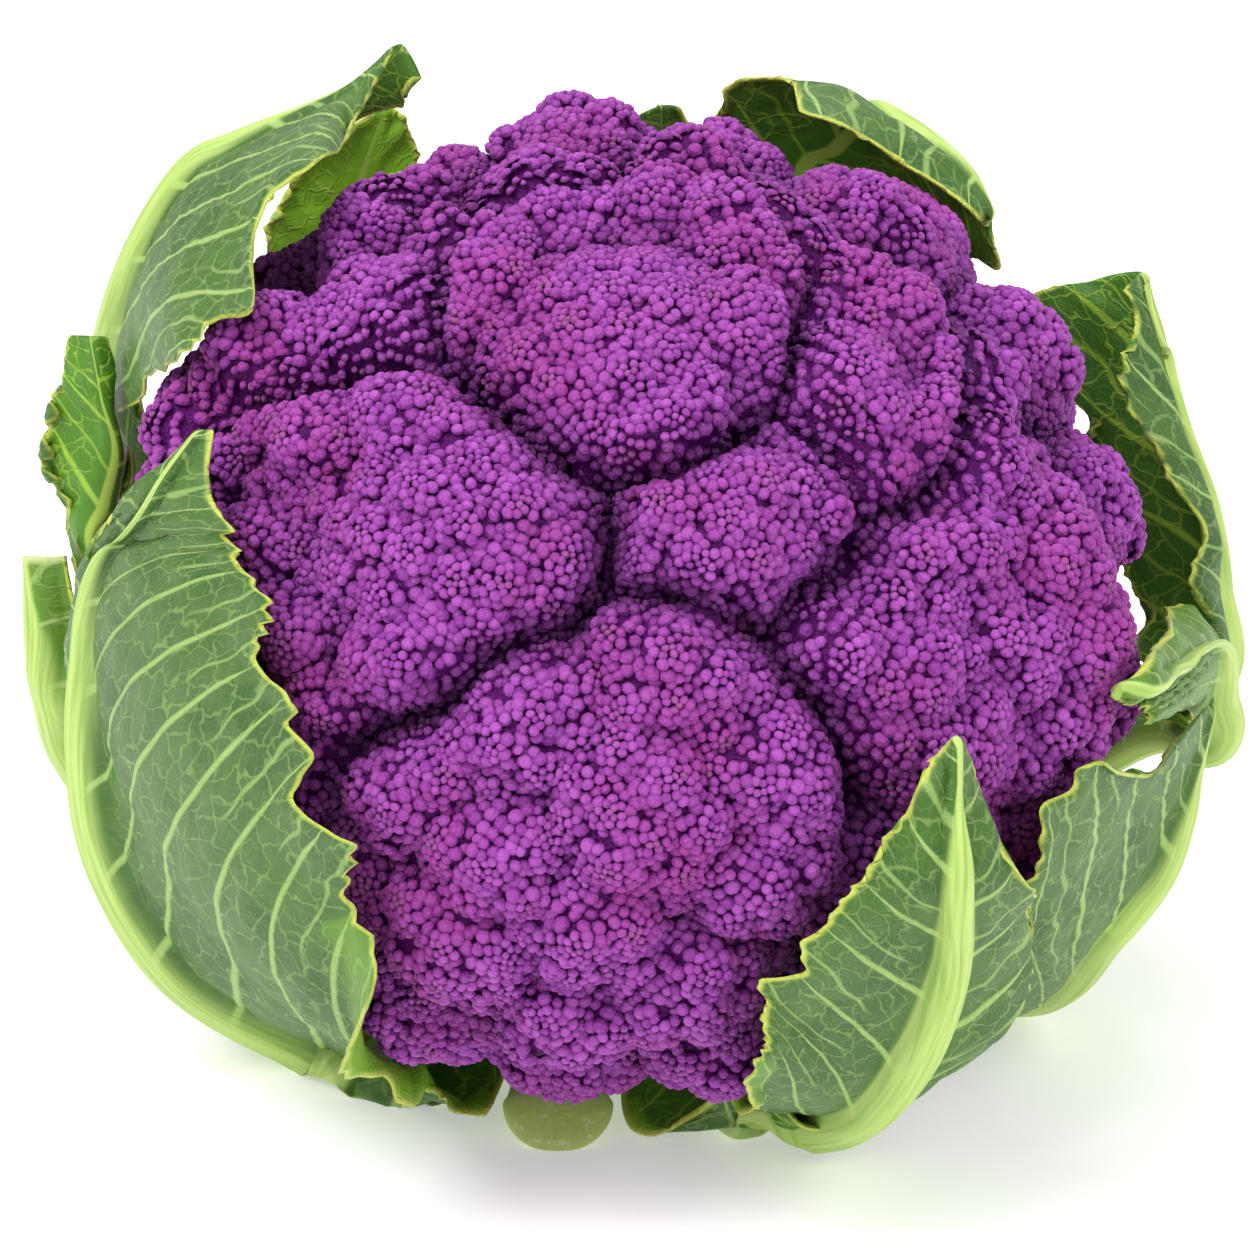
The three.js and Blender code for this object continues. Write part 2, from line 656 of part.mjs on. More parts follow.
// How far the blade's edge turns over outwards at v, in radians
function curlAt(leaf, side, v) {
  let turn = 0;
  for (const curl of leaf.curls.filter((one) => one.side === side)) {
    const place = (v - curl.from) / (curl.to - curl.from);
    if (place > 0 && place < 1) {
      turn += THREE.MathUtils.degToRad(curl.turn) * Math.min(1, 3 * place, 3 * (1 - place));
    }
  }
  return turn;
}

// The finished middle surface. Where an edge curls, the strip past the fold rolls outwards on an arc.
function bladePoint(leaf, u, v, sign) {
  const side = Math.sign(u);
  const turn = curlAt(leaf, side, v);
  if (Math.abs(u) <= FOLD || turn < 0.01) {
    return openBlade(leaf, u, v);
  }
  const fold = openBlade(leaf, side * FOLD, v);
  const normal = outward(openBlade, leaf, side * FOLD, v, sign);
  const strip = openBlade(leaf, side, v).sub(fold);
  const width = strip.length();
  const out = strip.addScaledVector(normal, -strip.dot(normal)).normalize();
  const angle = turn * (Math.abs(u) - FOLD) / (1 - FOLD);
  const radius = width / turn;
  return fold.addScaledVector(out, radius * Math.sin(angle))
    .addScaledVector(normal, radius * (1 - Math.cos(angle)));
}

// Places across the leaf: close together over the rib, wider over the blade
function crossPlaces(leaf, v) {
  const width = bladeHalf(leaf, v);
  const rib = Math.min(RIB_SHARE, ribHalf(leaf, v) / width);
  const sidePlaces = (side) => {
    const curled = leaf.curls.some((one) => one.side === side);
    const end = curled ? Math.max(FOLD, rib + 0.05) : 1;
    const places = [];
    for (let step = 1; step <= leaf.steps; step += 1) {
      places.push(side * (rib + (end - rib) * (step / leaf.steps)));
    }
    for (let step = 1; curled && step <= CURL_STEPS; step += 1) {
      places.push(side * (end + (1 - end) * (step / CURL_STEPS)));
    }
    return places;
  };
  const shoulder = rib * RIB_SHOULDER;
  return [...sidePlaces(-1).reverse(), -rib, -shoulder, 0, shoulder, rib, ...sidePlaces(1)];
}

// One leaf: a thin curved blade, thickened along its midrib into a half-round rib outside
function leafGeometry(leaf) {
  const sign = leafSign(leaf);
  const lines = (leaf.rows.length - 1) * 2;
  const outer = [];
  const inner = [];
  for (let line = 0; line <= lines; line += 1) {
    const v = line / lines;
    for (const u of crossPlaces(leaf, v)) {
      const point = bladePoint(leaf, u, v, sign);
      const normal = outward(bladePoint, leaf, u, v, sign);
      const half = ribHalf(leaf, v);
      const width = bladeHalf(leaf, v);
      const off = Math.min(1, Math.abs(u) * width / Math.min(half, RIB_SHARE * width));
      const rib = half * RIB_HEIGHT * Math.sqrt(1 - off * off);
      const outside = point.clone().addScaledVector(normal, BLADE / 2 + rib);
      const inside = point.clone().addScaledVector(normal, -BLADE / 2);
      outside.z = Math.max(outside.z, 0);
      inside.z = Math.max(inside.z, outside.z === 0 ? BLADE : 0);
      outer.push(outside);
      inner.push(inside);
    }
  }
  const columns = outer.length / (lines + 1);
  const count = outer.length;
  const triangles = [];
  const face = (a, b, c) => triangles.push(...(sign > 0 ? [a, b, c] : [a, c, b]));
  for (let line = 0; line < lines; line += 1) {
    for (let column = 0; column < columns - 1; column += 1) {
      const a = line * columns + column;
      const b = a + 1;
      const c = a + columns;
      const d = c + 1;
      face(a, b, d);
      face(a, d, c);
      face(count + a, count + d, count + b);
      face(count + a, count + c, count + d);
    }
    for (const [low, high] of [[line * columns, (line + 1) * columns],
      [(line + 2) * columns - 1, (line + 1) * columns - 1]]) {
      face(low, high, count + high);
      face(low, count + high, count + low);
    }
  }
  for (let column = 0; column < columns - 1; column += 1) {
    const foot = column;
    const tip = lines * columns + column;
    face(foot + 1, foot, count + foot);
    face(foot + 1, count + foot, count + foot + 1);
    face(tip, tip + 1, count + tip + 1);
    face(tip, count + tip + 1, count + tip);
  }
  return meshGeometry([...outer, ...inner].flatMap((point) => point.toArray()), triangles);
}

// The stump of a leaf cut off in front: a thick stalk on the table, rounded below, sliced obliquely
const FRONT_STALK = {
  path: [[-4, -14, 11], [-8, -32, 8], [-11, -50, 6], [-12, -66, 5], [-12, -74, 5]],
  halfWidth: 9,
  depth: 5.5,
  crown: 2.5,
  slice: 1.1,
};

function stalkGeometry() {
  const { path, halfWidth, depth, crown, slice } = FRONT_STALK;
  const lines = 10;
  const sides = 20;
  const positions = [];
  const centres = [];
  for (let line = 0; line <= lines; line += 1) {
    const v = line / lines;
    const centre = curveAt(path, v);
    const before = curveAt(path, Math.max(0, v - 0.02));
    const along = curveAt(path, Math.min(1, v + 0.02)).sub(before).normalize();
    const side = new THREE.Vector3(0, 0, 1).cross(along).normalize();
    const up = along.clone().cross(side);
    for (let step = 0; step < sides; step += 1) {
      const turn = (step / sides) * Math.PI * 2;
      const rise = Math.sin(turn) * (Math.sin(turn) > 0 ? crown : depth);
      const point = centre.clone()
        .addScaledVector(side, halfWidth * (0.65 + 0.35 * v) * Math.cos(turn))
        .addScaledVector(up, rise)
        .addScaledVector(along, -slice * (rise + depth) * v ** 4);
      point.z = Math.max(point.z, 0);
      positions.push(...point.toArray());
    }
    centres.push(centre);
  }
  const foot = positions.length / 3;
  positions.push(...centres[0].toArray());
  const endRing = positions.slice(lines * sides * 3, (lines + 1) * sides * 3);
  const end = [0, 1, 2].map((axis) =>
    endRing.filter((value, index) => index % 3 === axis).reduce((sum, value) => sum + value, 0) / sides);
  positions.push(...end);
  const triangles = [];
  for (let step = 0; step < sides; step += 1) {
    const next = (step + 1) % sides;
    for (let line = 0; line < lines; line += 1) {
      const a = line * sides + step;
      const b = line * sides + next;
      triangles.push(a, b, b + sides, a, b + sides, a + sides);
    }
    triangles.push(foot, next, step);
    triangles.push(foot + 1, lines * sides + step, lines * sides + next);
  }
  return meshGeometry(positions, triangles);
}

// A leaf or stalk with its foot cut to the stem, a hair clear of it
function fittedToStem(geometry, stemSpace) {
  const pieces = solid(geometry).subtract(stemSpace).decompose();
  pieces.sort((one, other) => other.volume() - one.volume());
  return fromSolid(pieces[0]);
}

const cauliflower = new THREE.Group();

function addPiece(name, geometry, colour, roughness) {
  const material = new THREE.MeshStandardMaterial({ color: colour, roughness, metalness: 0 });
  const mesh = new THREE.Mesh(geometry, material);
  mesh.name = name;
  cauliflower.add(mesh);
}

addPiece('curd', makeCurd(), 0x8c3c96, 0.6);
addPiece('stem', stemGeometry(0), 0xd9e2b8, 0.55);
const stemSpace = solid(stemGeometry(FIT_GAP));
addPiece('petiole_front', fittedToStem(stalkGeometry(), stemSpace), 0xb9cd7c, 0.5);
for (const [name, leaf] of Object.entries(LEAVES)) {
  addPiece(name, fittedToStem(leafGeometry(leaf), stemSpace), leaf.colour, 0.5);
}

export default cauliflower;
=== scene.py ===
import math

import bpy
import numpy as np
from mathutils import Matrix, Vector, kdtree


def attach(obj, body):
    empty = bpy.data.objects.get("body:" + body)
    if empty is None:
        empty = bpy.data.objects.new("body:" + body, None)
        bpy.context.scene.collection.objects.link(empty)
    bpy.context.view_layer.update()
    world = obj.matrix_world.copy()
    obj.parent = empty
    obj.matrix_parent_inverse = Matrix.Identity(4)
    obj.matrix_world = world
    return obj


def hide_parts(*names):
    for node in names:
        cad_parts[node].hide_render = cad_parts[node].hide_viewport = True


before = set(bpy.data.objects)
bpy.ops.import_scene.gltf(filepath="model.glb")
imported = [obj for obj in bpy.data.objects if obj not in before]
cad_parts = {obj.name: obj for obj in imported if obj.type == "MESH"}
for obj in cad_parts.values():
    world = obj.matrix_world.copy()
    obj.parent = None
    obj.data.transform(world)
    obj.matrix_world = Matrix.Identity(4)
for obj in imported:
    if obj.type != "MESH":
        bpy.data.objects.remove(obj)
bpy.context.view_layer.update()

# The stem: a thick pale stump, cut across flat below, where the whole head stands on the table.
# It grows up into a crown of stout branches that carry the florets. Lengths are in millimetres.
MM = 0.001
HEAD_CENTRE = np.array([0.0, -42.0, 84.0])
UNDERSIDE = np.array([0.0, 0.45, -0.89]) / math.hypot(0.45, 0.89)
UNDERSIDE_DEPTH = 42
STEM_RADIUS = 22
STEM_WAIST = 20.5
WAIST_HEIGHT = 20
CROWN_RADIUS = 44
CROWN_START = 30
CROWN_FLARE = 1.4
CROWN_BRANCHES = 9
BRANCH_RELIEF = 0.09
CAP_SHARE = 0.14


def pick(*pieces):
    """Picks these pieces alone, the last of them foremost"""
    bpy.ops.object.select_all(action="DESELECT")
    for piece in pieces:
        piece.select_set(True)
        bpy.context.view_layer.objects.active = piece


def begin(name, shape, **settings):
    """A simple mesh, to be shaped into a piece"""
    pick()
    getattr(bpy.ops.mesh, f"primitive_{shape}_add")(**settings)
    piece = bpy.context.object
    piece.name = piece.data.name = name
    piece.data.uv_layers[0].name = "OFBake"
    return piece


def open_up(piece, action):
    """Edit mode on this piece alone, with all or none of its points picked"""
    pick(piece)
    bpy.ops.object.mode_set(mode="EDIT")
    bpy.ops.mesh.select_all(action=action)


def close_up():
    bpy.ops.object.mode_set(mode="OBJECT")


def spots(piece):
    """The piece's points as rows of x, y, z"""
    flat = np.empty(len(piece.data.vertices) * 3, np.float32)
    piece.data.vertices.foreach_get("co", flat)
    return flat.reshape(-1, 3).astype(float)


def place(piece, points):
    """Moves the piece's points to these places, given in millimetres"""
    piece.data.vertices.foreach_set("co", (points * MM).astype(np.float32).ravel())
    piece.data.update()


def mark(piece, **named):
    """Keeps numbers at each point for the finish to read"""
    for name, values in named.items():
        layer = piece.data.attributes.new(name, "FLOAT", "POINT")
        layer.data.foreach_set("value", np.asarray(values, np.float32))


def length(vectors):
    return np.linalg.norm(vectors, axis=-1)


def unit(vectors):
    return vectors / length(vectors)[..., None]


def round_piece(name, around, rings):
    """A ball to be shaped: returns it with each point's turn and its level from 0 to 1"""
    piece = begin(name, "uv_sphere", segments=around, ring_count=rings, radius=1)
    ball = spots(piece)
    turn = np.arctan2(ball[:, 1], ball[:, 0])
    level = 1 - np.arccos(np.clip(ball[:, 2], -1, 1)) / math.pi
    return piece, turn, level


def finished(piece, body, slot, *nodes):
    """Smooth shading, and what the piece rides on and stands for; slot, what it is painted as, is not
    used
    """
    open_up(piece, "SELECT")
    bpy.ops.mesh.normals_make_consistent(inside=False)
    close_up()
    bpy.ops.object.shade_smooth()
    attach(piece, body)
    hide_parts(*nodes)


def paint(red, green, blue):
    """A colour as seen, 0 to 255, in the light's own measure"""
    return tuple(((part / 255 + 0.055) / 1.055) ** 2.4 if part > 10 else part / 3295
                 for part in (red, green, blue)) + (1.0,)


class Finish:
    """A material and the nodes that feed its shader"""

    def __init__(self, name, roughness, specular=0.5):
        self.material = bpy.data.materials.new(name)
        self.material.use_nodes = True
        self.inputs = self.material.node_tree.nodes["Principled BSDF"].inputs
        self.inputs["Roughness"].default_value = roughness
        self.inputs["Specular IOR Level"].default_value = specular

    def feed(self, socket, value):
        """Links a node's output into a socket, or sets its number or colour"""
        if isinstance(value, bpy.types.NodeSocket):
            self.material.node_tree.links.new(value, socket)
        else:
            socket.default_value = paint(*value) if socket.type == "RGBA" else value

    def made(self, kind, sockets, **settings):
        """A new node with its settings and its sockets fed"""
        node = self.material.node_tree.nodes.new("ShaderNode" + kind)
        for key, value in settings.items():
            setattr(node, key, value)
        for key, value in sockets.items():
            self.feed(node.inputs[key], value)
        return node

    def where(self):
        return self.made("TexCoord", {}).outputs["Object"]

    def value_at(self, name):
        """The number that the piece keeps at each point under this name"""
        return self.made("Attribute", {}, attribute_name=name).outputs["Fac"]

    def maths(self, operation, *values):
        return self.made("Math", dict(enumerate(values)), operation=operation).outputs[0]

    def times(self, first, second):
        return self.maths("MULTIPLY", first, second)

    def between(self, value, low, high):
        """0 below low, 1 above high, a soft step between; falls instead where low is above high"""
        sockets = {"Value": value, "From Min": low, "From Max": high}
        return self.made("MapRange", sockets, interpolation_type="SMOOTHSTEP").outputs["Result"]

    def mixed(self, share, first, second):
        return self.made("Mix", {0: share, 6: first, 7: second}, data_type="RGBA").outputs[2]

    def layered(self, tone, *layers):
        """A tone with others laid over it, each by its share"""
        for share, other in layers:
            tone = self.mixed(share, tone, other)
        return tone

    def stretched(self, where, *scale):
        return self.made("Mapping", {"Vector": where, "Scale": scale}).outputs[0]

    def cloudy(self, where, scale, detail, output="Fac"):
        """Soft uneven patches, 0 to 1"""
        sockets = {"Vector": where, "Scale": scale, "Detail": detail}
        return self.made("TexNoise", sockets).outputs[output]

    def colour(self, tone):
        self.feed(self.inputs["Base Color"], tone)

    def cover(self, piece):
        piece.data.materials.append(self.material)

    def raised(self, height, depth, strength):
        """Low relief: height 0 to 1 stands up by depth in metres"""
        bump = self.made("Bump", {"Height": height, "Distance": depth, "Strength": strength})
        self.feed(self.inputs["Normal"], bump.outputs["Normal"])

    def soft(self, weight, *reach):
        """How far light spreads under the skin: red, green and blue"""
        self.inputs["Subsurface Weight"].default_value = weight
        self.inputs["Subsurface Radius"].default_value = reach


def stem_shape(turn, level):
    """Points of the stem, from the middle of its cut face to the middle of its crown"""
    axis = -UNDERSIDE
    side = np.array([1.0, 0, 0])
    back = np.cross(axis, side)
    top = axis @ HEAD_CENTRE - UNDERSIDE_DEPTH
    across = np.outer(np.cos(turn), side) + np.outer(np.sin(turn), back)
    up = np.clip((level - CAP_SHARE) / (1 - 2 * CAP_SHARE), 0, 1)
    inward = np.minimum(1, np.minimum(level, 1 - level) / CAP_SHARE)
    foot = -across[:, 2] * STEM_RADIUS / axis[2]
    height = foot + (top - foot) * up
    waist = STEM_RADIUS + (STEM_WAIST - STEM_RADIUS) * np.minimum(1, height / WAIST_HEIGHT)
    opened = np.clip((height - CROWN_START) / (top - CROWN_START), 0, None)
    flute = 1 + BRANCH_RELIEF * opened * np.cos(CROWN_BRANCHES * turn) + 0.012 * np.cos(5 * turn)
    ridges = 1 + 0.004 * np.sin(31 * turn + 0.1 * height) * np.sin(np.pi * up)
    radius = waist + (CROWN_RADIUS - STEM_WAIST) * opened ** CROWN_FLARE
    radius = radius * flute * ridges * inward
    centre_height = np.where(level < 0.5, foot * inward, top)
    points = across * radius[:, None] + np.outer(np.where(inward < 1, centre_height, height), axis)
    points[up == 0, 2] = 0
    return points


stem, turn, level = round_piece("stem_pale", 144, 70)
place(stem, stem_shape(turn, level))
finished(stem, "root", "stem", "stem")
flesh = Finish("stem_flesh", 0.5)
where = flesh.where()
fibres = flesh.cloudy(flesh.stretched(where, 9, 9, 1), 60, 4.0)
skin = flesh.mixed(fibres, (176, 196, 120), (226, 232, 190))
above_cut = flesh.between(flesh.made("SeparateXYZ", {0: where}).outputs["Z"], 0.0005, 0.002)
cut = flesh.mixed(flesh.cloudy(where, 220, 3.0), (206, 210, 160), (240, 240, 214))
flesh.colour(flesh.mixed(above_cut, cut, skin))
flesh.raised(fibres, 0.0006, 0.5)
flesh.soft(0.1, 0.004, 0.005, 0.002)
flesh.cover(stem)

# The stump of a leaf that was cut off in front: a thick stalk lying on the table, flat and pale on
# top, with a rounded green skin below and a bulging end where the knife went through obliquely.
STALK_PATH = [(-4, -14, 11), (-8, -32, 8), (-11, -50, 6), (-12, -66, 5), (-12, -74, 5)]
STALK_HALF_WIDTH = 9
STALK_DEPTH = 5.5
STALK_CROWN = 2.5
STALK_SLICE = 1.1
STALK_BULGE = 2.4
STALK_FOOT = 0.05


def curve_at(points, v):
    """A smooth curve through the points, at each v from 0 to 1"""
    points = np.asarray(points, float)
    padded = np.vstack([2 * points[0] - points[1], points, 2 * points[-1] - points[-2]])
    spot = np.clip(v, 0, 1) * (len(points) - 1)
    index = np.minimum(spot.astype(int), len(points) - 2)
    t = (spot - index)[:, None]
    a, b, c, d = (padded[index + step] for step in range(4))
    return 0.5 * (2 * b + (c - a) * t + (2 * a - 5 * b + 4 * c - d) * t ** 2
                  + (3 * b - a - 3 * c + d) * t ** 3)


def stalk_shape(turn, level):
    """Points of the stalk, from the middle of its foot to the middle of its sliced end"""
    v = np.clip((level - STALK_FOOT) / (1 - STALK_FOOT - CAP_SHARE), 0, 1)
    round_end = np.clip(1 - (1 - level) / CAP_SHARE, 0, 1) * np.pi / 2
    inward = np.minimum(1, np.minimum(level / STALK_FOOT, np.cos(round_end)))
    centre = curve_at(STALK_PATH, v)
    along = unit(curve_at(STALK_PATH, v + 0.02) - curve_at(STALK_PATH, v - 0.02))
    side = unit(np.cross([0, 0, 1], along))
    up = np.cross(along, side)
    width = STALK_HALF_WIDTH * (0.65 + 0.35 * v) * np.cos(turn)
    rise = np.sin(turn) * np.where(np.sin(turn) > 0, STALK_CROWN, STALK_DEPTH)
    slice_back = -STALK_SLICE * (rise * inward + STALK_DEPTH) * v ** 4
    points = (centre + side * (width * inward)[:, None] + up * (rise * inward)[:, None]
              + along * (slice_back + STALK_BULGE * np.sin(round_end))[:, None])
    points[:, 2] = np.maximum(points[:, 2], 0)
    return points


stalk, turn, level = round_piece("petiole_front_pale", 96, 80)
place(stalk, stalk_shape(turn, level))
end_share = np.clip(0.8 - 1.6 * np.sin(turn) * (1 - level) / CAP_SHARE, 0, 1)
mark(stalk, cut_face=(level > 1 - CAP_SHARE) * end_share, top_side=np.sin(turn))
finished(stalk, "root", "leaf_rib", "petiole_front")
flesh = Finish("stalk_skin", 0.42)
where = flesh.where()
fibres = flesh.cloudy(flesh.stretched(where, 10, 1, 10), 50, 4.0)
green = flesh.mixed(fibres, (140, 172, 60), (184, 206, 104))
pale = flesh.mixed(fibres, (178, 202, 108), (214, 228, 158))
skin = flesh.mixed(flesh.between(flesh.value_at("top_side"), 0.1, 0.45), green, pale)
marks = flesh.cloudy(where, 500, 3.0)
cut = flesh.mixed(marks, (176, 200, 92), (208, 222, 136))
cut = flesh.mixed(flesh.between(marks, 0.6, 0.68), cut, (222, 230, 164))
flesh.colour(flesh.mixed(flesh.value_at("cut_face"), skin, cut))
flesh.raised(fibres, 0.0005, 0.5)
flesh.soft(0.08, 0.003, 0.004, 0.001)
flesh.cover(stalk)

# The wrapper leaves: eleven thin tough blades that grow round the stem and cup the head. A stout
# half-round midrib stands proud on the outer side, side veins rise from it to the margin, and the
# margin is ruffled and finely toothed. Two front leaves roll an edge outwards.
HEAD_AXIS = np.array([0.0, -math.sin(math.radians(35)), math.cos(math.radians(35))])
HEAD_RADIUS = 85
HEAD_RISE = 72
LEAF_CLEARANCE = 1.6
BLADE_HALF = 0.42
RIB_HEIGHT = 0.95
RIB_COLUMNS = 0.24
FOLD = 0.84
VEIN_SPACING = 17
VEIN_SLOPE = 0.8
VEIN_GAP = VEIN_SPACING / math.hypot(1, VEIN_SLOPE)
VEIN_RELIEF = 0.5
PUFF_RELIEF = 0.55
RUFFLE_RELIEF = 1.7
RUFFLE_REACH = 11
MARGIN_LOBES = 3.2
LOBE_STEP = 2.6
MARGIN_TEETH = 1.5
TOOTH_STEP = 0.75
# wax and yellow_green: how bloomed and how yellow green it looks; rib: half width at foot, middle and
# tip;
# curls: side, start, end and degrees; rows, foot to tip: left edge, rib and right edge as x, y, z
LEAVES = {
    "leaf_front_left": dict(
        wax=0.85, yellow_green=0.1, rib=(6.5, 5.2, 0.8), ripple=1.2, waves=4, scallop=0.05, lobes=8,
        curls=[(1, 0.1, 0.42, 140)], rows=[
        (-20, -12, 16, -17, -17, 11, -12, -20, 16), (-38, -73, 16, -37, -55, 5, -23, -71, 7),
        (-64, -32, 18, -57, -43, 6, -29, -75, 17), (-76, -32, 28, -74, -49, 21, -34, -110, 45),
        (-83, -32, 48, -84, -50, 40, -40, -120, 70), (-86, -34, 64, -87, -51, 59, -46, -116, 84),
        (-90, -36, 68, -86, -55, 78, -52, -108, 98), (-88, -47, 87, -81, -62, 98, -55, -99, 110),
        (-78, -70, 111, -72, -79, 116, -62, -90, 117), (-66, -77, 126, -65, -80, 127, -63, -80, 127)]),
    "leaf_front_right": dict(
        wax=0.95, yellow_green=0.1, rib=(6, 4.6, 0.8), ripple=1.2, waves=4, scallop=0.05, lobes=7,
        curls=[(-1, 0.1, 0.4, 110)], rows=[
        (2, -24, 13, 9, -20, 9, 17, -13, 13), (-1, -69, 3, 17, -70, 5, 25, -85, 12),
        (13, -77, 12, 30, -75, 6, 40, -76, 8), (18, -121, 42, 37, -92, 18, 51, -77, 17),
        (18, -126, 53, 44, -104, 35, 60, -90, 33), (25, -126, 65, 48, -113, 54, 62, -97, 51),
        (36, -122, 76, 48, -123, 72, 59, -112, 68), (42, -118, 88, 47, -119, 83, 53, -112, 81),
        (47, -114, 91, 48, -115, 92, 49, -113, 90)]),
    "leaf_right": dict(
        wax=0.7, yellow_green=0.1, rib=(5.5, 4, 0.8), ripple=0.8, waves=3, scallop=0.04, lobes=6, rows=[
        (20, -16, 15, 23, -8, 10, 21, 1, 15), (42, -28, 10, 44, -14, 5, 44, 0, 10),
        (58, -54, 14, 68, -30, 7, 72, -10, 18), (60, -93, 48, 77, -52, 29, 82, -24, 34),
        (59, -101, 65, 85, -49, 38, 88, -32, 43), (63, -100, 75, 89, -45, 46, 92, -34, 49),
        (70, -95, 78, 91, -41, 52, 94, -33, 54), (79, -81, 70, 93, -38, 57, 95, -32, 58),
        (94, -37, 62, 95, -35, 62, 96, -32, 62)]),
    "leaf_right_trimmed": dict(
        wax=0.35, yellow_green=0.55, rib=(5, 4.4, 1.2), ripple=0.8, waves=3, scallop=0.04, lobes=5, rows=[
        (20, -4, 28, 23, 3, 24, 19, 9, 28), (50, -6, 24, 52, 4, 18, 50, 14, 24),
        (83, -9, 50, 87, -2, 42, 82, 7, 50), (93, -19, 47, 98, -12, 45, 97, -6, 42),
        (92, -26, 56, 98, -15, 55, 97, -3, 58), (80, -83, 80, 95, -31, 70, 89, -17, 72),
        (74, -90, 86, 80, -83, 87, 80, -80, 90), (73, -90, 87, 73, -91, 88, 73, -89, 88)]),
    "leaf_right_rear": dict(
        wax=0.6, yellow_green=0.05, rib=(5.5, 3.4, 0.8), ripple=1.2, waves=4, scallop=0.04, lobes=7, rows=[
        (18, 6, 14, 19, 14, 10, 12, 19, 14), (46, 16, 12, 44, 27, 8, 34, 34, 12),
        (76, 12, 30, 76, 26, 24, 64, 36, 32), (100, 1, 47, 100, 10, 45, 85, 7, 46),
        (95, -5, 69, 99, 4, 66, 83, 12, 64), (93, -6, 82, 97, 6, 80, 79, 14, 77),
        (83, 0, 101, 92, 8, 95, 73, 18, 91), (82, 8, 116, 89, 12, 109, 66, 24, 111),
        (83, 13, 117, 86, 16, 119, 76, 23, 114)]),
    "leaf_rear_right": dict(
        wax=0.8, yellow_green=0.1, rib=(5.5, 3.4, 0.9), ripple=0.8, waves=4, scallop=0.04, lobes=8, rows=[
        (1, 18, 30, 8, 17, 25, 14, 11, 30), (10, 42, 34, 22, 42, 28, 32, 34, 34),
        (18, 57, 70, 36, 56, 66, 56, 42, 70), (10, 43, 125, 29, 40, 124, 60, 34, 104),
        (14, 33, 144, 35, 32, 136, 51, 35, 118), (24, 22, 152, 40, 24, 143, 52, 31, 117),
        (28, -3, 151, 44, 17, 144, 54, 25, 116), (38, -3, 145, 50, 11, 142, 55, 15, 117),
        (48, -4, 138, 55, 5, 139, 57, 5, 119), (54, -5, 134, 58, 1, 135, 59, 1, 123),
        (58, 1, 133, 59, 2, 132, 60, 3, 129)]),
    "leaf_rear": dict(
        wax=0.6, yellow_green=0.1, rib=(6, 3.8, 0.7), ripple=1.4, waves=3, scallop=0.05, lobes=6, rows=[
        (8, 18, 14, 0, 22, 9, -8, 18, 14), (16, 38, 16, 0, 42, 10, -14, 38, 16),
        (22, 61, 44, 2, 66, 40, -24, 58, 42), (28, 65, 78, 3, 69, 74, -30, 58, 76),
        (26, 58, 106, 5, 61, 104, -24, 48, 106), (16, 49, 126, 5, 50, 126, -12, 41, 126),
        (9, 40, 140, 5, 39, 141, 0, 37, 139)]),
    "leaf_rear_left": dict(
        slot="leaf_young", wax=0.1, yellow_green=1, rib=(5, 3, 0.7),
        ripple=1, waves=3, scallop=0.05, lobes=5, rows=[
        (-2, 18, 30, -9, 16, 25, -15, 10, 30), (-10, 42, 34, -24, 38, 28, -34, 30, 34),
        (-14, 54, 74, -38, 46, 68, -60, 28, 74), (-40, 41, 121, -51, 40, 114, -64, 32, 115),
        (-37, 37, 132, -47, 39, 127, -60, 35, 126), (-37, 32, 140, -44, 37, 136, -52, 35, 136),
        (-40, 33, 142, -42, 35, 142, -45, 35, 140)]),
    "leaf_left_rear": dict(
        wax=0.9, yellow_green=0.1, rib=(5.5, 4.2, 0.8), ripple=0.8, waves=4, scallop=0.04, lobes=8, rows=[
        (-12, 17, 14, -19, 12, 9, -20, 4, 14), (-32, 32, 14, -44, 22, 8, -46, 10, 12),
        (-60, 44, 44, -74, 30, 36, -82, 16, 42), (-84, 35, 85, -90, 21, 85, -90, 14, 89),
        (-82, 33, 102, -87, 16, 106, -80, -19, 108), (-75, 28, 116, -81, 10, 124, -69, -62, 132),
        (-67, 26, 127, -73, 9, 138, -60, -65, 140), (-59, 23, 134, -65, 9, 143, -56, -47, 149),
        (-50, 19, 140, -54, 9, 148, -48, -40, 156), (-40, 17, 146, -46, 11, 152, -45, 1, 150),
        (-34, 16, 150, -38, 18, 158, -40, 13, 157)]),
    "leaf_left": dict(
        wax=0.35, yellow_green=0.15, rib=(5, 2.8, 0.7), ripple=1.2, waves=3, scallop=0.05, lobes=5, rows=[
        (-17, 10, 29, -21, 4, 25, -21, -4, 29), (-42, 16, 26, -46, 4, 20, -48, -8, 24),
        (-68, 18, 54, -80, 2, 46, -86, -12, 50), (-88, -3, 74, -90, -9, 77, -95, -2, 76),
        (-87, -1, 83, -88, -9, 87, -98, -3, 88), (-85, 0, 92, -86, -8, 96, -99, -1, 99),
        (-86, -2, 102, -88, -7, 105, -96, -1, 107), (-87, 0, 113, -90, -2, 114, -95, 1, 113)]),
    "leaf_left_trimmed": dict(
        slot="leaf_rib", wax=0.1, yellow_green=0.8, rib=(6, 5.6, 5.4),
        ripple=0.4, waves=2, scallop=0.03, lobes=4, rows=[
        (-20, 0, 14, -23, -7, 9, -20, -13, 14), (-46, 0, 12, -50, -8, 7, -48, -17, 12),
        (-74, 4, 22, -75, -5, 16, -74, -18, 22), (-89, 3, 40, -92, -8, 38, -87, -18, 42),
        (-98, -7, 54, -96, -13, 55, -94, -22, 53), (-100, -1, 62, -97, -9, 65, -92, -15, 65),
        (-99, 1, 73, -97, -6, 76, -94, -13, 79)]),
}


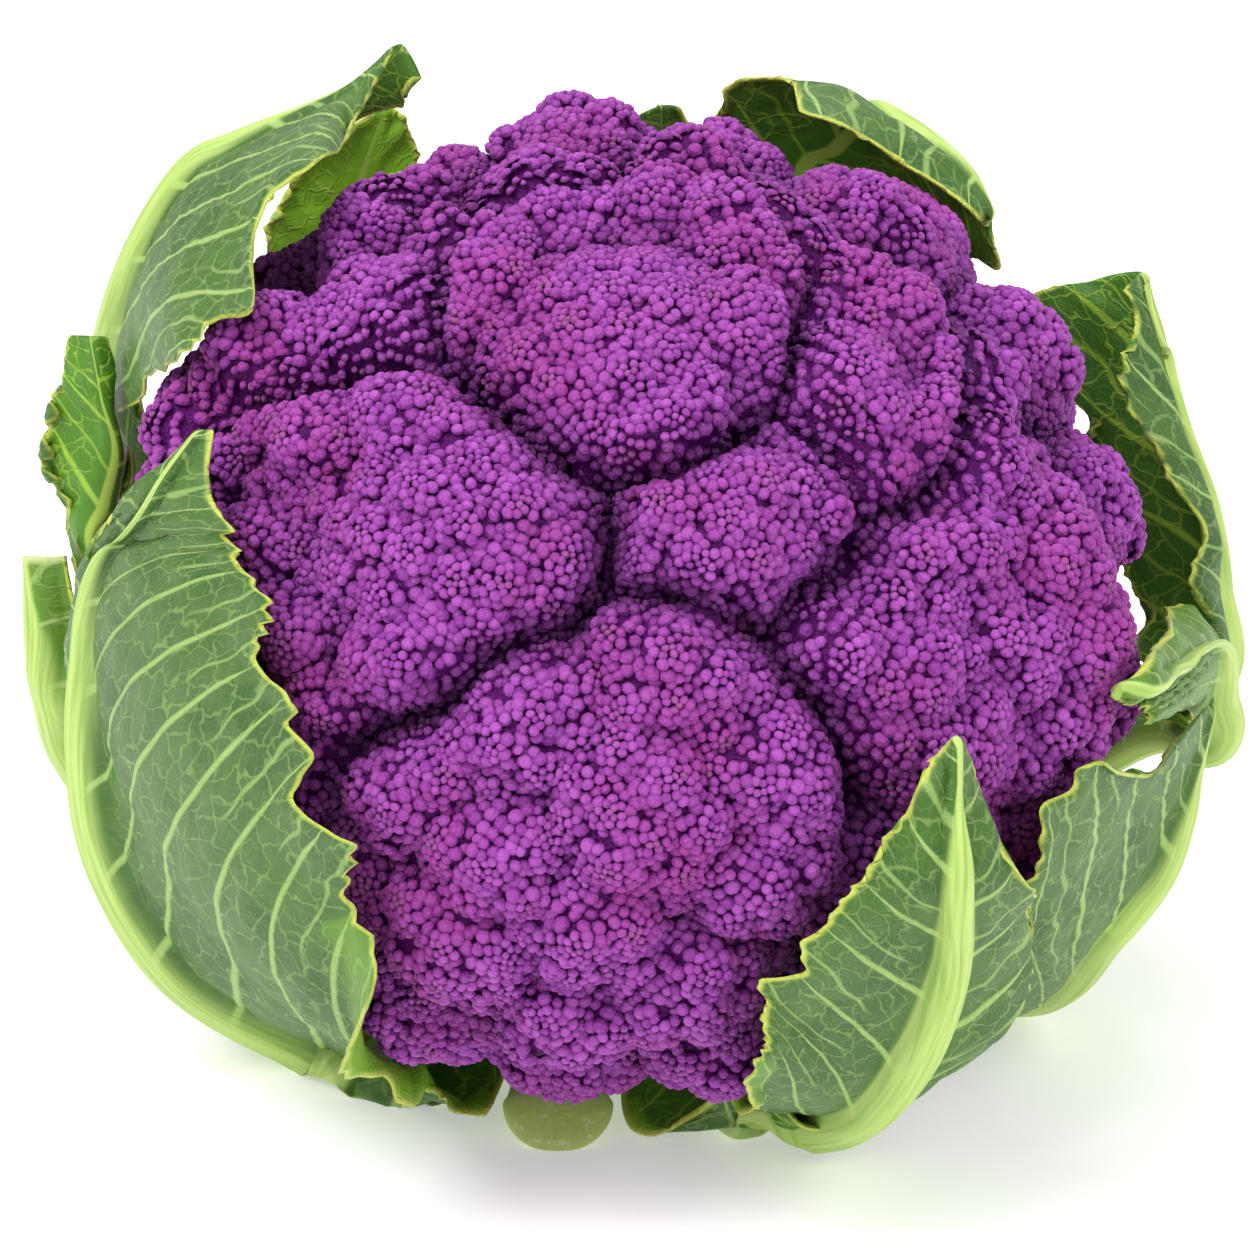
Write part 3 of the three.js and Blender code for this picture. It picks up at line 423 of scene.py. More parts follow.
def dome_reach(directions):
    """From the head's centre to the smooth dome that just holds every floret"""
    along = directions @ HEAD_AXIS
    return 1 / np.sqrt((along / HEAD_RISE) ** 2 + (1 - along ** 2) / HEAD_RADIUS ** 2)


def underside_reach(directions, depth):
    """The same where the flat underside cuts the dome off"""
    down = directions @ UNDERSIDE
    return np.where(down > 0.05, depth / np.maximum(down, 0.05), 1e6)


def outline(leaf):
    """The leaf's rows of left edge, rib and right edge"""
    return np.array(leaf["rows"], float).reshape(-1, 3, 3)


def open_blade(leaf, u, v):
    """The blade's middle surface, u from -1 at the left edge to 1 at the right, v from foot to tip"""
    left, rib, right = (curve_at(outline(leaf)[:, side], v)[:, None] for side in range(3))
    spread = (right - left) / 2
    cup = (right + left) / 2 - rib
    sideways = (cup * spread).sum(-1, keepdims=True) / (spread ** 2).sum(-1, keepdims=True)
    bend = np.clip(0.85 / np.maximum(np.abs(sideways), 0.01), 1, 2)
    cup = cup - spread * sideways
    v = v[:, None]
    opened = np.minimum(1, 4 * v) * np.clip(12 * (1 - v), 0, 1)
    bite = np.sin(2 * np.pi * leaf["lobes"] * v + 2 * u)
    at = (u * (1 + leaf["scallop"] * opened * np.abs(u) ** 6 * bite))[..., None]
    across = at + sideways * np.abs(at) ** bend
    away = rib + spread * across + cup * at ** 2 - HEAD_CENTRE
    direction = unit(away)
    ripple = leaf["ripple"] * opened * u * u * np.sin(2 * np.pi * leaf["waves"] * v + 1.7 * u)
    reach = length(away) + ripple
    least = np.minimum(dome_reach(direction), underside_reach(direction, UNDERSIDE_DEPTH + 1))
    short = least + LEAF_CLEARANCE - reach
    reach = reach + 0.5 * (short + np.sqrt(short ** 2 + 0.5))
    return HEAD_CENTRE + direction * reach[..., None]


def facing(points, sign):
    """Unit vectors out of the leaf's outer face at each point of its net"""
    normals = np.cross(np.gradient(points, axis=1), np.gradient(points, axis=0))
    if not normals[-1].any():
        normals[-1] = normals[-2]
    return unit(normals) * sign


def curled_blade(leaf, u, v, sign):
    """The blade with its turned-over edges: the strip past the fold rolls outwards on an arc"""
    points = open_blade(leaf, u, v)
    for side, start, end, degrees in leaf.get("curls", []):
        place_on = np.clip((v - start) / (end - start), 0, 1)
        ramp = np.clip(3 * np.minimum(place_on, 1 - place_on), 0, 1)
        turn = np.radians(degrees) * ramp * ramp * (3 - 2 * ramp)
        beside = open_blade(leaf, side * FOLD + 0.004 * np.array([[-1, 0, 1]]), v)
        normal = facing(beside, sign)[:, 1:2]
        fold = beside[:, 1:2]
        strip = open_blade(leaf, np.full((len(v), 1), float(side)), v) - fold
        width = length(strip)[..., None]
        out = unit(strip - normal * (strip * normal).sum(-1, keepdims=True))
        angle = turn[:, None] * np.clip((side * u - FOLD) / (1 - FOLD), 0, 1)
        radius = width / np.maximum(turn, 0.01)[:, None, None]
        rolled = (fold + out * radius * np.sin(angle)[..., None]
                  + normal * radius * (1 - np.cos(angle))[..., None])
        curled = (side * u > FOLD) & (turn[:, None] > 0.02)
        points = np.where(curled[..., None], rolled, points)
    return points


def run(points, axis):
    """Running length along each line of the net, from its first point"""
    steps = length(np.diff(points, axis=axis))
    start = np.zeros_like(np.take(steps, [0], axis=axis))
    return np.concatenate([start, np.cumsum(steps, axis=axis)], axis=axis)


def uneven(first, second, seed):
    """Slow wandering between -1 and 1 over two lengths"""
    return (np.sin(0.61 * first + 0.37 * second + seed)
            + np.sin(-0.29 * first + 0.83 * second + 2.3 * seed)
            + np.sin(0.97 * first - 0.53 * second + 4.1 * seed)) / 3


def leaf_net(leaf, number, rows, columns):
    """Outer and inner face of one leaf as nets of points, and what its finish reads at each"""
    v = np.linspace(0, 1, rows + 1)
    sliced = leaf.get("slot", "leaf") == "leaf_rib"
    if sliced:
        v[-2] = 1
    edges = [curve_at(outline(leaf)[:, side], v) for side in (0, 2)]
    half_width = length(edges[1] - edges[0]) / 2
    rib_half = np.interp(v, [0, 0.5, 1], leaf["rib"])[:, None]
    rib_u = np.minimum(0.75, rib_half / half_width[:, None])
    t = np.linspace(-1, 1, columns + 1)[None]
    beyond = np.clip((np.abs(t) - RIB_COLUMNS) / (1 - RIB_COLUMNS), 0, 1)
    u = np.sign(t) * np.where(np.abs(t) < RIB_COLUMNS, rib_u * np.abs(t) / RIB_COLUMNS,
                              rib_u + (1 - rib_u) * beyond)
    middle_row = open_blade(leaf, np.array([[-0.02, 0, 0.02]]), np.array([0.59, 0.6, 0.61]))
    sign = np.sign(facing(middle_row, 1)[1, 1] @ (middle_row[1, 1] - HEAD_CENTRE))

    # the margin: shallow lobes and fine teeth cut into the edge
    margin = run(open_blade(leaf, np.zeros((1, 1)), v), 0) + 40 * np.sign(u) + 100 * number
    lobe_turn = margin / LOBE_STEP + 1.1 * np.sin(margin / 7.3)
    tooth_turn = margin / TOOTH_STEP + 1.6 * np.sin(margin / 4.1) + np.sin(margin / 2.3)
    deepness = 0.6 + 0.4 * np.sin(margin / 9.7 + 2)
    lobed = MARGIN_LOBES * deepness * (0.5 + 0.5 * np.sin(lobe_turn)) ** 1.5 * np.abs(u) ** 9
    toothed = MARGIN_TEETH * (1.3 - deepness) * (0.5 + 0.5 * np.sin(tooth_turn)) * np.abs(u) ** 34
    notch = (lobed + toothed) * np.clip(8 * v - 1, 0, 1)[:, None] / half_width[:, None]
    points = curled_blade(leaf, u * (1 - np.minimum(0.3, notch)), v, sign)

    # the blade puffs up between its side veins and ruffles towards the margin
    across = run(points, 1)
    across = across - across[:, columns // 2][:, None]
    edge = np.minimum(across - across[:, :1], across[:, -1:] - across)
    along = np.broadcast_to(run(points[:, columns // 2][:, None], 0), across.shape)
    wobble = 0.2 * uneven(along / 9, across / 7, number)
    branch = (along - VEIN_SLOPE * np.abs(across)) / VEIN_SPACING + 0.5 * (across > 0) + wobble
    from_vein = np.abs(branch - np.rint(branch)) * VEIN_GAP
    opened = np.clip(6 * v, 0, 1)[:, None] * np.clip(10 * (1 - v), 0, 1)[:, None]
    blade_only = np.clip(np.abs(across) / rib_half - 1, 0, 1)
    puff = (PUFF_RELIEF * (1 - np.exp(-(from_vein / 2.6) ** 2))
            + 0.3 * uneven(along * 0.9, across * 0.9, number + 3))
    ruffle = (RUFFLE_RELIEF * np.clip(1 - edge / RUFFLE_REACH, 0, 1) ** 2
              * uneven(along / 3.2, across / 14, number + 7))
    rise = (puff * blade_only + ruffle) * opened * np.clip(edge / 2, 0.4, 1)
    points = points + facing(points, sign) * rise[..., None]

    # both faces: the rib and the veins stand on the outer one, and the two meet at the margin
    normal = facing(points, sign)
    ends = np.clip(along if sliced else np.minimum(along, along[-1:] - along), 0, None)
    thin = np.sqrt(np.clip(np.minimum(edge / 1.3, ends / 1.3), 0, 1))
    thin[-1] = 0
    off = np.clip(np.abs(u) / rib_u, 0, 1)
    rib = rib_half * RIB_HEIGHT * (1 - off ** 2) ** 0.7
    rib = rib * (1 + 0.05 * np.sin(7 * off + 3 * np.sign(u)) * opened)
    vein = VEIN_RELIEF * np.exp(-(from_vein / 0.75) ** 2) * blade_only
    vein = vein * np.clip(edge / 12, 0, 1) * opened
    outer = points + normal * (thin * (BLADE_HALF + rib + vein))[..., None]
    inner = points - normal * (thin * (BLADE_HALF - 0.3 * vein))[..., None]
    outer[..., 2] = np.maximum(outer[..., 2], 0)
    inner[..., 2] = np.maximum(inner[..., 2], np.where(outer[..., 2] <= 0, 2 * BLADE_HALF * thin, 0))
    # the rolled-out strip of each curled edge gets a brighter, yellower green: partly the inner face's
    # own paler colour, partly painted light where the strip turns out towards the lamps
    turned = np.zeros_like(across)
    for side, start, end, _ in leaf.get("curls", []):
        held = ((v > start) & (v < end))[:, None]
        turned = np.maximum(turned, held * np.clip((side * u - FOLD) / (1 - FOLD) * 4, 0, 1))
    narrower = np.clip(3 * (1 - v), 0.3, 1)[:, None]
    marks = {"across": across, "along": along, "branch": branch, "edge": edge,
             "yellow_green": np.maximum(leaf["yellow_green"], 0.75 * turned),
             "rib_off": np.abs(across) / (rib_half * narrower),
             "cut": np.broadcast_to(((v == 1) & sliced)[:, None] * 1.0, across.shape)}
    return outer, inner, marks


def leaf_piece(name, number, rows, columns):
    """One leaf: a sheet wrapped from the left edge over the outer face and back over the inner"""
    leaf = LEAVES[name]
    outer, inner, marks = leaf_net(leaf, number, rows, columns)
    piece = begin(name + "_veined", "grid", x_subdivisions=2 * columns, y_subdivisions=rows, size=2)
    sheet = spots(piece)
    column = np.rint((sheet[:, 0] + 1) * columns).astype(int)
    row = np.rint((sheet[:, 1] + 1) / 2 * rows).astype(int)
    inside = column > columns
    beside = np.where(inside, 2 * columns - column, column)
    place(piece, np.where(inside[:, None], inner[row, beside], outer[row, beside]))
    mark(piece, **{key: values[row, beside] for key, values in marks.items()},
         inside=inside * 1.0, wax=np.full(len(row), leaf["wax"]))
    open_up(piece, "SELECT")
    bpy.ops.mesh.remove_doubles(threshold=2e-6)
    close_up()
    finished(piece, "root", leaf.get("slot", "leaf"), name)
    return piece


skin = Finish("leaf_skin", 0.5, 0.35)
where = skin.where()
across, along, edge, inside, wax, yellow_green, branch, rib_off, cut = (skin.value_at(name) for name in (
    "across", "along", "edge", "inside", "wax", "yellow_green", "branch", "rib_off", "cut"))
flat = skin.made("CombineXYZ", {"X": across, "Y": along}).outputs[0]
wander = skin.cloudy(flat, 0.22, 2.0, "Color")
loose = skin.made("VectorMath", {0: wander, 1: (6, 6, 0), 2: flat}, operation="MULTIPLY_ADD").outputs[0]
# where the veins run: side veins, a fork between each two, then a coarse and a fine net
vein_width = skin.maths("MULTIPLY_ADD", skin.between(edge, 1.0, 14.0), 0.75, 0.25)
side_vein = skin.times(skin.maths("PINGPONG", branch, 0.5), VEIN_GAP)
side_vein = skin.maths("SUBTRACT", 1.0, skin.maths("DIVIDE", side_vein, vein_width))
side_vein = skin.between(side_vein, 0.0, 0.7)
fork_place = skin.maths("MULTIPLY_ADD", skin.cloudy(flat, 0.1, 1.0), 0.5, 0.35)
fork = skin.maths("PINGPONG", skin.maths("ADD", branch, fork_place), 0.5)
fork = skin.between(skin.times(fork, VEIN_GAP), 0.6, 0.2)
fork = skin.times(fork, skin.between(edge, 24.0, 15.0))
beyond_rib = skin.between(rib_off, 1.2, 2.0)
nets = []
for scale, wide, narrow in ((0.2, 0.08, 0.01), (0.62, 0.11, 0.02)):
    cells = skin.made("TexVoronoi", {"Vector": loose, "Scale": scale}, feature="DISTANCE_TO_EDGE",
                      voronoi_dimensions="2D").outputs["Distance"]
    nets.append(skin.times(skin.between(cells, wide, narrow), beyond_rib))
coarse_vein, fine_vein = nets
# the blade between them: green under a grey bloom outside, rubbed off in places, plain inside
broad = skin.cloudy(where, 34, 3.0)
small = skin.cloudy(where, 210, 4.0)
bloom = skin.mixed(small, (46, 84, 36), (86, 116, 66))
leafy = skin.mixed(small, (42, 84, 24), (72, 112, 36))
outer_blade = skin.mixed(skin.times(wax, skin.between(broad, 0.3, 0.62)), leafy, bloom)
rubbed = skin.between(skin.cloudy(where, 48, 7.0), 0.53, 0.57)
outer_blade = skin.mixed(skin.times(rubbed, 0.7), outer_blade, (44, 82, 34))
deep = skin.mixed(small, (38, 90, 22), (70, 126, 34))
bright = skin.mixed(small, (104, 164, 24), (146, 196, 48))
# the inner face is deep green, brighter where the leaf is young and on the rolled-out strips, where it
# is partly painted light
blade = skin.mixed(inside, outer_blade, skin.mixed(yellow_green, deep, bright))
vein_tone = skin.mixed(inside, (158, 188, 106), (156, 194, 62))
coarse_share = skin.maths("MULTIPLY_ADD", inside, 0.2, 0.34)
blade = skin.layered(
    blade, (skin.times(yellow_green, 0.5), bright), (skin.times(fine_vein, 0.13), vein_tone),
    (skin.times(coarse_vein, coarse_share), vein_tone), (skin.times(fork, 0.6), vein_tone),
    (skin.times(side_vein, 0.9), vein_tone), (skin.between(edge, 1.5, 0.3), (188, 200, 84)))
# the rib: pale, palest at its foot, with green strands along it
rib_tone = skin.mixed(skin.between(along, 70.0, 12.0), (184, 208, 114), (218, 228, 174))
strands = skin.cloudy(skin.stretched(flat, 1.5, 0.05, 1.0), 1.0, 4.0)
rib_tone = skin.mixed(skin.between(strands, 0.4, 0.7), rib_tone, (150, 184, 84))
rib_tone = skin.mixed(inside, rib_tone, (164, 194, 78))
rib_edge = skin.maths("MULTIPLY_ADD", inside, -1.0, 1.45)
rib_here = skin.between(skin.maths("DIVIDE", rib_off, rib_edge), 1.0, 0.55)
cut_tone = skin.mixed(small, (186, 204, 122), (222, 230, 168))
skin.colour(skin.layered(blade, (rib_here, rib_tone), (cut, cut_tone)))
relief = skin.maths("ADD", skin.times(coarse_vein, 0.5), skin.times(fine_vein, 0.22))
skin.raised(skin.maths("ADD", relief, skin.times(small, 0.35)), 0.0006, 0.6)
skin.soft(0.12, 0.002, 0.003, 0.0008)
for number, name in enumerate(LEAVES):
    rows, columns = (190, 116) if name.startswith("leaf_front") else (120, 72)
    skin.cover(leaf_piece(name, number, rows, columns))

# The head: dozens of round purple florets crowded into one low dome. Each floret is a ball of lobes,
# and each lobe is covered with separate little beads, the flower buds: smallest at the lobe's tip,
# where they stand in spirals, and up to 2 mm across down its flanks.
LOBE_RADIUS = 4.4
LOBE_SPACING = 6.3
LOBE_UNEVEN = 1.8
LOBE_RELIEF = 2.6
VALLEY_DEPTH = 12
HIDDEN_RADIUS = 16
GOLDEN_ANGLE = math.pi * (3 - math.sqrt(5))
BEADS_AT_TIP = 0.95
BEADS_AT_FLANK = 1.95
BEADS_ON_BODY = 1.9
BEAD_SHARE = 0.62
BEAD_JITTER = 0.45
BEADS_A_PIECE = 3000
HEXAGONAL = 0.866
CAP_DEGREES = 112
NET_STEP = 1.5
SIZE, TIP, DEPTH, FLORET = 6, 7, 8, 9
# bearing and height of each floret in degrees, its radius, and how far it is sunk if at all
SEEN_FLORETS = [
    (-5, 58, 30), (-30, 24, 32), (14, 30, 21.5), (-1, -5, 36, 5), (40, 9, 30, 3), (7, 46, 15),
    (32, 58, 15), (-29, 12, 15), (43, 45, 21), (38, 32, 12), (-14, 6, 18), (5, 12, 20), (18, -1, 17),
    (1, -5, 20, -1), (-16, -10, 15), (-5, -18, 17), (-26, -4, 15, 1), (-22, -23, 17), (-9, -35, 14),
    (7, -28, 17), (15, -13, 14), (48, 20, 18), (27, 13, 13), (36, 8, 18), (53, 7, 18), (41, -2, 16),
    (31, 1, 12, 2), (53, -5, 13, 1), (71, 39, 14), (59, 30, 18), (64, 19, 15), (-91, 77, 20),
    (-71, 67, 13), (54, 87, 13), (71, 73, 17), (63, 60, 15), (138, 78, 10), (67, 51, 12),
    (-66, 50, 22), (-57, 62, 15), (-69, 36, 16), (-75, 27, 13), (-45, 41, 14), (-56, 34, 12),
    (-46, 11, 12, 3), (-38, 2, 13, 3), (-57, 19, 14, 3), (-48, -8, 15, 4), (-39, -19, 16, 4),
    (29, -17, 15, 4), (41, -17, 15, 4), (-68, 3, 14, 3), (-77, 36, 15, -4), (-76, 25, 13, -4),
    (-75, 15, 13, -3), (61, 14, 13, -4), (61, 7, 13, -5), (58, -1, 13, -3),
]
# bearing and height of the points that each deep crease between the big mounds runs through
CREASES = [
    [(-52, 55), (-43, 50), (-28, 47), (-16, 41), (-4, 38)],
    [(-4, 38), (7, 39), (19, 43), (29, 46)],
    [(-4, 38), (-3, 30), (-4, 22)],
    [(-4, 22), (-10, 17), (-18, 14), (-23, 8), (-31, 3), (-36, 0)],
    [(-4, 22), (6, 22), (14, 18), (19, 15)],
    [(19, 15), (24, 20), (32, 23), (36, 29)],
    [(29, 46), (42, 55), (61, 62), (73, 71)],
    [(29, 46), (36, 36), (36, 29)],
    [(36, 29), (47, 28), (57, 33), (67, 39), (80, 46), (91, 55)],
    [(19, 15), (23, 8), (27, 0), (28, -7)],
    [(-52, 55), (-63, 62), (-75, 69), (-78, 75)],
    [(-108, 59), (-89, 70), (-78, 75)],
    [(-78, 75), (-79, 81), (-124, 89), (128, 82)],
    [(128, 82), (97, 77), (73, 71)],
    [(-43, 50), (-54, 47), (-60, 41), (-71, 33), (-73, 27)],
]
CREASE_DEPTH = 12
CREASE_HALF_WIDTH = 8


def chance(numbers):
    """A repeatable random number from 0 to 1 for each whole number"""
    wave = np.sin(np.asarray(numbers, float) * 12.9898 + 4.1414) * 43758.5453
    return wave - np.floor(wave)


def spiral(count):
    """Even spots all over a ball"""
    number = np.arange(count)
    level = 1 - (2 * number + 1) / count
    ring = np.sqrt(1 - level ** 2)
    turn = number * GOLDEN_ANGLE
    return np.stack([ring * np.cos(turn), ring * np.sin(turn), level], -1)


def towards(bearing, height):
    turn, rise = math.radians(bearing), math.radians(height)
    ahead = math.cos(rise)
    return np.array([ahead * math.sin(turn), -ahead * math.cos(turn), math.sin(rise)])


def frame_of(direction):
    """Two unit vectors square to a direction and to each other"""
    side = unit(np.cross([0.03, 0, 1.0], direction))
    return side, np.cross(direction, side)


def leaning(axis, polar, turn):
    """Unit vectors that lean from an axis by a polar angle, each towards its own turn"""
    side, up = frame_of(axis)
    return (axis * np.cos(polar)[:, None] + side * (np.sin(polar) * np.cos(turn))[:, None]
            + up * (np.sin(polar) * np.sin(turn))[:, None])


def floret(direction, radius, sink=0):
    reach = dome_reach(direction)
    return {"direction": direction, "radius": radius, "tip": direction * reach,
            "centre": direction * (reach - radius - sink)}


def crease_dip(points):
    """How far the surface dips at each point towards the nearest crease between mounds"""
    directions = unit(points)
    nearest = np.full(len(points), 9.0)
    for line in CREASES:
        corners = np.array([towards(*corner) for corner in line])
        for start, end in zip(corners, corners[1:]):
            step = end - start
            along = np.clip((directions - start) @ step / (step @ step), 0, 1)
            gap = length(directions - start - np.outer(along, step))
            nearest = np.minimum(nearest, gap * HEAD_RADIUS)
    return CREASE_DEPTH * np.clip(1 - nearest / CREASE_HALF_WIDTH, 0, 1) ** 2


def all_florets():
    """Every floret: the seen ones, then even spots wherever none stands yet, from the centre"""
    grown = [floret(towards(bearing, height), *form) for bearing, height, *form in SEEN_FLORETS]
    for spot, direction in enumerate(spiral(90)):
        radius = HIDDEN_RADIUS * (0.8 + 0.35 * chance(spot))
        tip = direction * dome_reach(direction)
        if all(np.linalg.norm(tip - other["tip"]) > other["radius"] + 0.6 * radius for other in grown):
            grown.append(floret(direction, radius, 1.5 * chance(spot + 200)))
    return grown


def all_lobes():
    """Lobes crowd over each floret in a spiral, and others fill the valleys between florets"""
    grown, tips = [], np.zeros((0, 3))
    for index, one in enumerate(florets):
        count = round(6 * (one["radius"] / LOBE_RADIUS) ** 2)
        side, up = frame_of(one["direction"])
        for number in range(count):
            level = 1 - 1.35 * (number + 0.5) / count
            ring = math.sqrt(1 - level * level)
            turn = number * GOLDEN_ANGLE + index
            away = (one["direction"] * level + side * ring * math.cos(turn)
                    + up * ring * math.sin(turn))
            radius = LOBE_RADIUS * (0.8 + 0.45 * chance(index * 50 + number))
            radius = min(radius, one["radius"] * 0.6)
            height = LOBE_UNEVEN * (chance(index * 70 + number) - 0.6)
            centre = one["centre"] + away * (one["radius"] - radius + height)
            tip = centre + unit(centre) * radius
            gap = length(centres - tip) - radii
            gap[index] = 9
            crowded = len(tips) and length(tips - tip).min() < LOBE_SPACING
            if gap.min() > -0.6 and not crowded:
                grown.append({"floret": index, "centre": centre, "radius": radius, "away": away})
                tips = np.vstack([tips, tip])
    for spot, direction in enumerate(spiral(700)):
        radius = LOBE_RADIUS * (0.85 + 0.3 * chance(spot + 900))
        tip = direction * (dome_reach(direction) - VALLEY_DEPTH + 2 * chance(spot + 1300))
        gap = length(centres - tip) - radii
        crowded = length(tips - tip).min() < LOBE_SPACING
        if gap.min() > -1 and not crowded and tip @ UNDERSIDE < UNDERSIDE_DEPTH - 4:
            grown.append({"floret": -1, "centre": tip - direction * radius, "radius": radius,
                          "away": direction})
            tips = np.vstack([tips, tip])
    return grown


def lobe_beads(lobe, seed):
    """Beads in a spiral over a lobe: spots, directions, sizes, and how near the tip they are"""
    angle = np.linspace(0, 2.2, 500)
    apart = BEADS_AT_TIP + (BEADS_AT_FLANK - BEADS_AT_TIP) * np.clip(angle, 0, 1) ** 0.75
    ring = 2 * np.pi * lobe["radius"] ** 2 * np.sin(angle) / (HEXAGONAL * apart ** 2)
    count = np.cumsum(ring) * (angle[1] - angle[0])
    number = np.arange(int(count[-1]))
    polar = np.interp(number + 0.5, count, angle)
    size = np.interp(polar, angle, apart)
    turn = number * GOLDEN_ANGLE + seed
    loose = np.clip(polar / 0.8, 0.15, 1)
    turn = turn + (chance(number + 17 * seed) - 0.5) * BEAD_JITTER * loose * size / (
        lobe["radius"] * np.sin(polar) + 0.3)
    polar = polar + (chance(number + 31 * seed) - 0.5) * BEAD_JITTER * loose * size / lobe["radius"]
    out = leaning(unit(lobe["away"]), polar, turn)
    size = BEAD_SHARE * size * (0.82 + 0.4 * loose * chance(number + 57 * seed))
    return lobe["centre"] + out * lobe["radius"], out, size, np.cos(polar)


def body_beads(one, seed):
    """Even beads over a floret's own ball, for wherever no lobe covers it"""
    radius = one["radius"] - LOBE_RELIEF
    out = spiral(round(4 * np.pi * radius ** 2 / (HEXAGONAL * BEADS_ON_BODY ** 2)))
    out = out[out @ one["direction"] > -0.35]
    number = np.arange(len(out))
    jitter = np.stack([chance(number + seed * step) for step in (1, 2, 3)], -1) - 0.5
    out = unit(out + 0.5 / radius * jitter)
    size = 1.15 * (0.8 + 0.4 * chance(number + 57 * seed))
    return one["centre"] + out * radius, out, size, np.full(len(out), 0.2)


def ball_reach(directions, centre, radius):
    """How far rays from the origin reach through a ball, or 0 where they miss it"""
    along = directions @ centre
    inside = radius ** 2 - (centre @ centre - along ** 2)
    return np.where((inside > 0) & (along > 0), along + np.sqrt(np.maximum(inside, 0)), 0)


def all_beads():
    """Every bead that shows: none sunk in a neighbour and none on top of another"""
    middles, sizes = (np.array([lobe[key] for lobe in lobes]) for key in ("centre", "radius"))
    sets = [(number, lobe["floret"], lobe_beads(lobe, number + 1))
            for number, lobe in enumerate(lobes)]
    sets += [(-1, index, body_beads(one, index + 1)) for index, one in enumerate(florets)]
    found = []
    for lobe_number, floret_number, (spot, out, size, tip) in sets:
        middle = spot.mean(0)
        reach = length(spot - middle).max()
        near = length(middles - middle) < sizes + reach + 1
        close = length(centres - middle) < radii + reach + 1
        if lobe_number >= 0:
            near[lobe_number] = False
        else:
            close[floret_number] = False
        keep = np.ones(len(spot), bool)
        for other in np.flatnonzero(near):
            keep &= length(spot - middles[other]) > sizes[other] - 0.25
        for other in np.flatnonzero(close):
            keep &= length(spot - centres[other]) > radii[other] - LOBE_RELIEF - 0.3
        depth = dome_reach(unit(spot)) - length(spot)
        keep &= (depth < VALLEY_DEPTH + 4) & (spot @ UNDERSIDE < UNDERSIDE_DEPTH + 2)
        owner = np.full(len(spot), float(floret_number))
        found.append(np.column_stack([spot, out, size, tip, depth, owner])[keep])
    found = np.vstack(found)
    dip = crease_dip(found[:, :3])
    found[:, :3] -= unit(found[:, :3]) * dip[:, None]
    found[:, DEPTH] += dip
    found = found[np.argsort(-found[:, TIP], kind="stable")]
    tree = kdtree.KDTree(len(found))
    for index, one in enumerate(found):
        tree.insert(one[:3], index)
    tree.balance()
    taken = np.zeros(len(found), bool)
    for index, one in enumerate(found):
        if not taken[index]:
            for _, other, far in tree.find_range(one[:3], 1.3 * one[SIZE]):
                if other > index and far < 0.55 * (one[SIZE] + found[other, SIZE]):
                    taken[other] = True
    return found[~taken]


def cap_net(one):
    """A square net of points drawn over the floret's round cap, and its directions"""
    half = math.sin(math.radians(CAP_DEGREES) / 2)
    steps = int(2 * half * one["radius"] * math.sqrt(math.pi) / 2 / NET_STEP) + 6
    piece = begin("flesh", "grid", x_subdivisions=steps, y_subdivisions=steps, size=2)
    square = spots(piece)
    a, b = square[:, 0], square[:, 1]
    wide = np.abs(a) > np.abs(b)
    reach = np.where(wide, a, b)
    with np.errstate(all="ignore"):
        turn = np.where(wide, np.pi / 4 * b / a, np.pi / 2 - np.pi / 4 * a / b)
    turn = np.nan_to_num(turn) + np.where(reach < 0, np.pi, 0)
    polar = 2 * np.arcsin(np.clip(np.abs(reach) * half, 0, 1))
    return piece, leaning(one["direction"], polar, turn)


def bead_shape(fineness):
    """One bead: a ball without its hidden underside, as points and triangles"""
    ball = begin("bead", "ico_sphere", subdivisions=fineness, radius=1)
    points = spots(ball)
    faces = np.array([list(face.vertices) for face in ball.data.polygons])
    bpy.data.objects.remove(ball)
    faces = faces[points[faces][:, :, 2].mean(1) > -0.06]
    used = np.unique(faces)
    renumber = np.full(len(points), -1)
    renumber[used] = np.arange(len(used))
    return points[used], renumber[faces]


def bead_piece(name, beads):
    """Many copies of the one bead, each with its own spot, size, turn and tile of the map"""
    points, faces = bead_shape(2)
    number = np.arange(len(beads))
    spot, out, size = beads[:, :3], beads[:, 3:6], beads[:, SIZE, None]
    spin = 2 * np.pi * chance(number * 3)[:, None]
    side, up = frame_of(out)
    across = side * np.cos(spin) + up * np.sin(spin)
    oval = 0.9 + 0.2 * chance(number * 5)[:, None]
    frames = np.stack([across * (size * oval), np.cross(out, across) * (size / oval),
                       out * (size * 1.05)], 1)
    shaped = np.einsum("vi,bij->bvj", points, frames) + (spot + out * (0.05 * size))[:, None]
    triangles = (faces[None] + (number * len(points))[:, None, None]).reshape(-1, 3)
    mesh = bpy.data.meshes.new(name)
    mesh.from_pydata(((shaped + HEAD_CENTRE) * MM).reshape(-1, 3), [], triangles)
    piece = bpy.data.objects.new(name, mesh)
    bpy.context.collection.objects.link(piece)
    tiles = math.ceil(math.sqrt(len(beads)))
    local = 0.5 + 0.44 * points[:, :2] / np.sqrt(2 - np.minimum(points[:, 2:], 0))
    tile = np.stack([number % tiles, number // tiles], -1)
    spread = (local[faces.ravel()][None] + tile[:, None]) / tiles
    layer = mesh.uv_layers.new(name="OFBake")
    layer.data.foreach_set("uv", (spread * [1, 0.8] + [0, 0.2]).astype(np.float32).ravel())
    steady = np.repeat(number, len(points))
    mark(piece, bead=np.tile(np.clip(points[:, 2], 0, 1), len(beads)) * 0.8 + 0.2,
         apex=beads[steady, TIP], depth=beads[steady, DEPTH] / VALLEY_DEPTH,
         varied=chance(number * 7)[steady])
    return piece


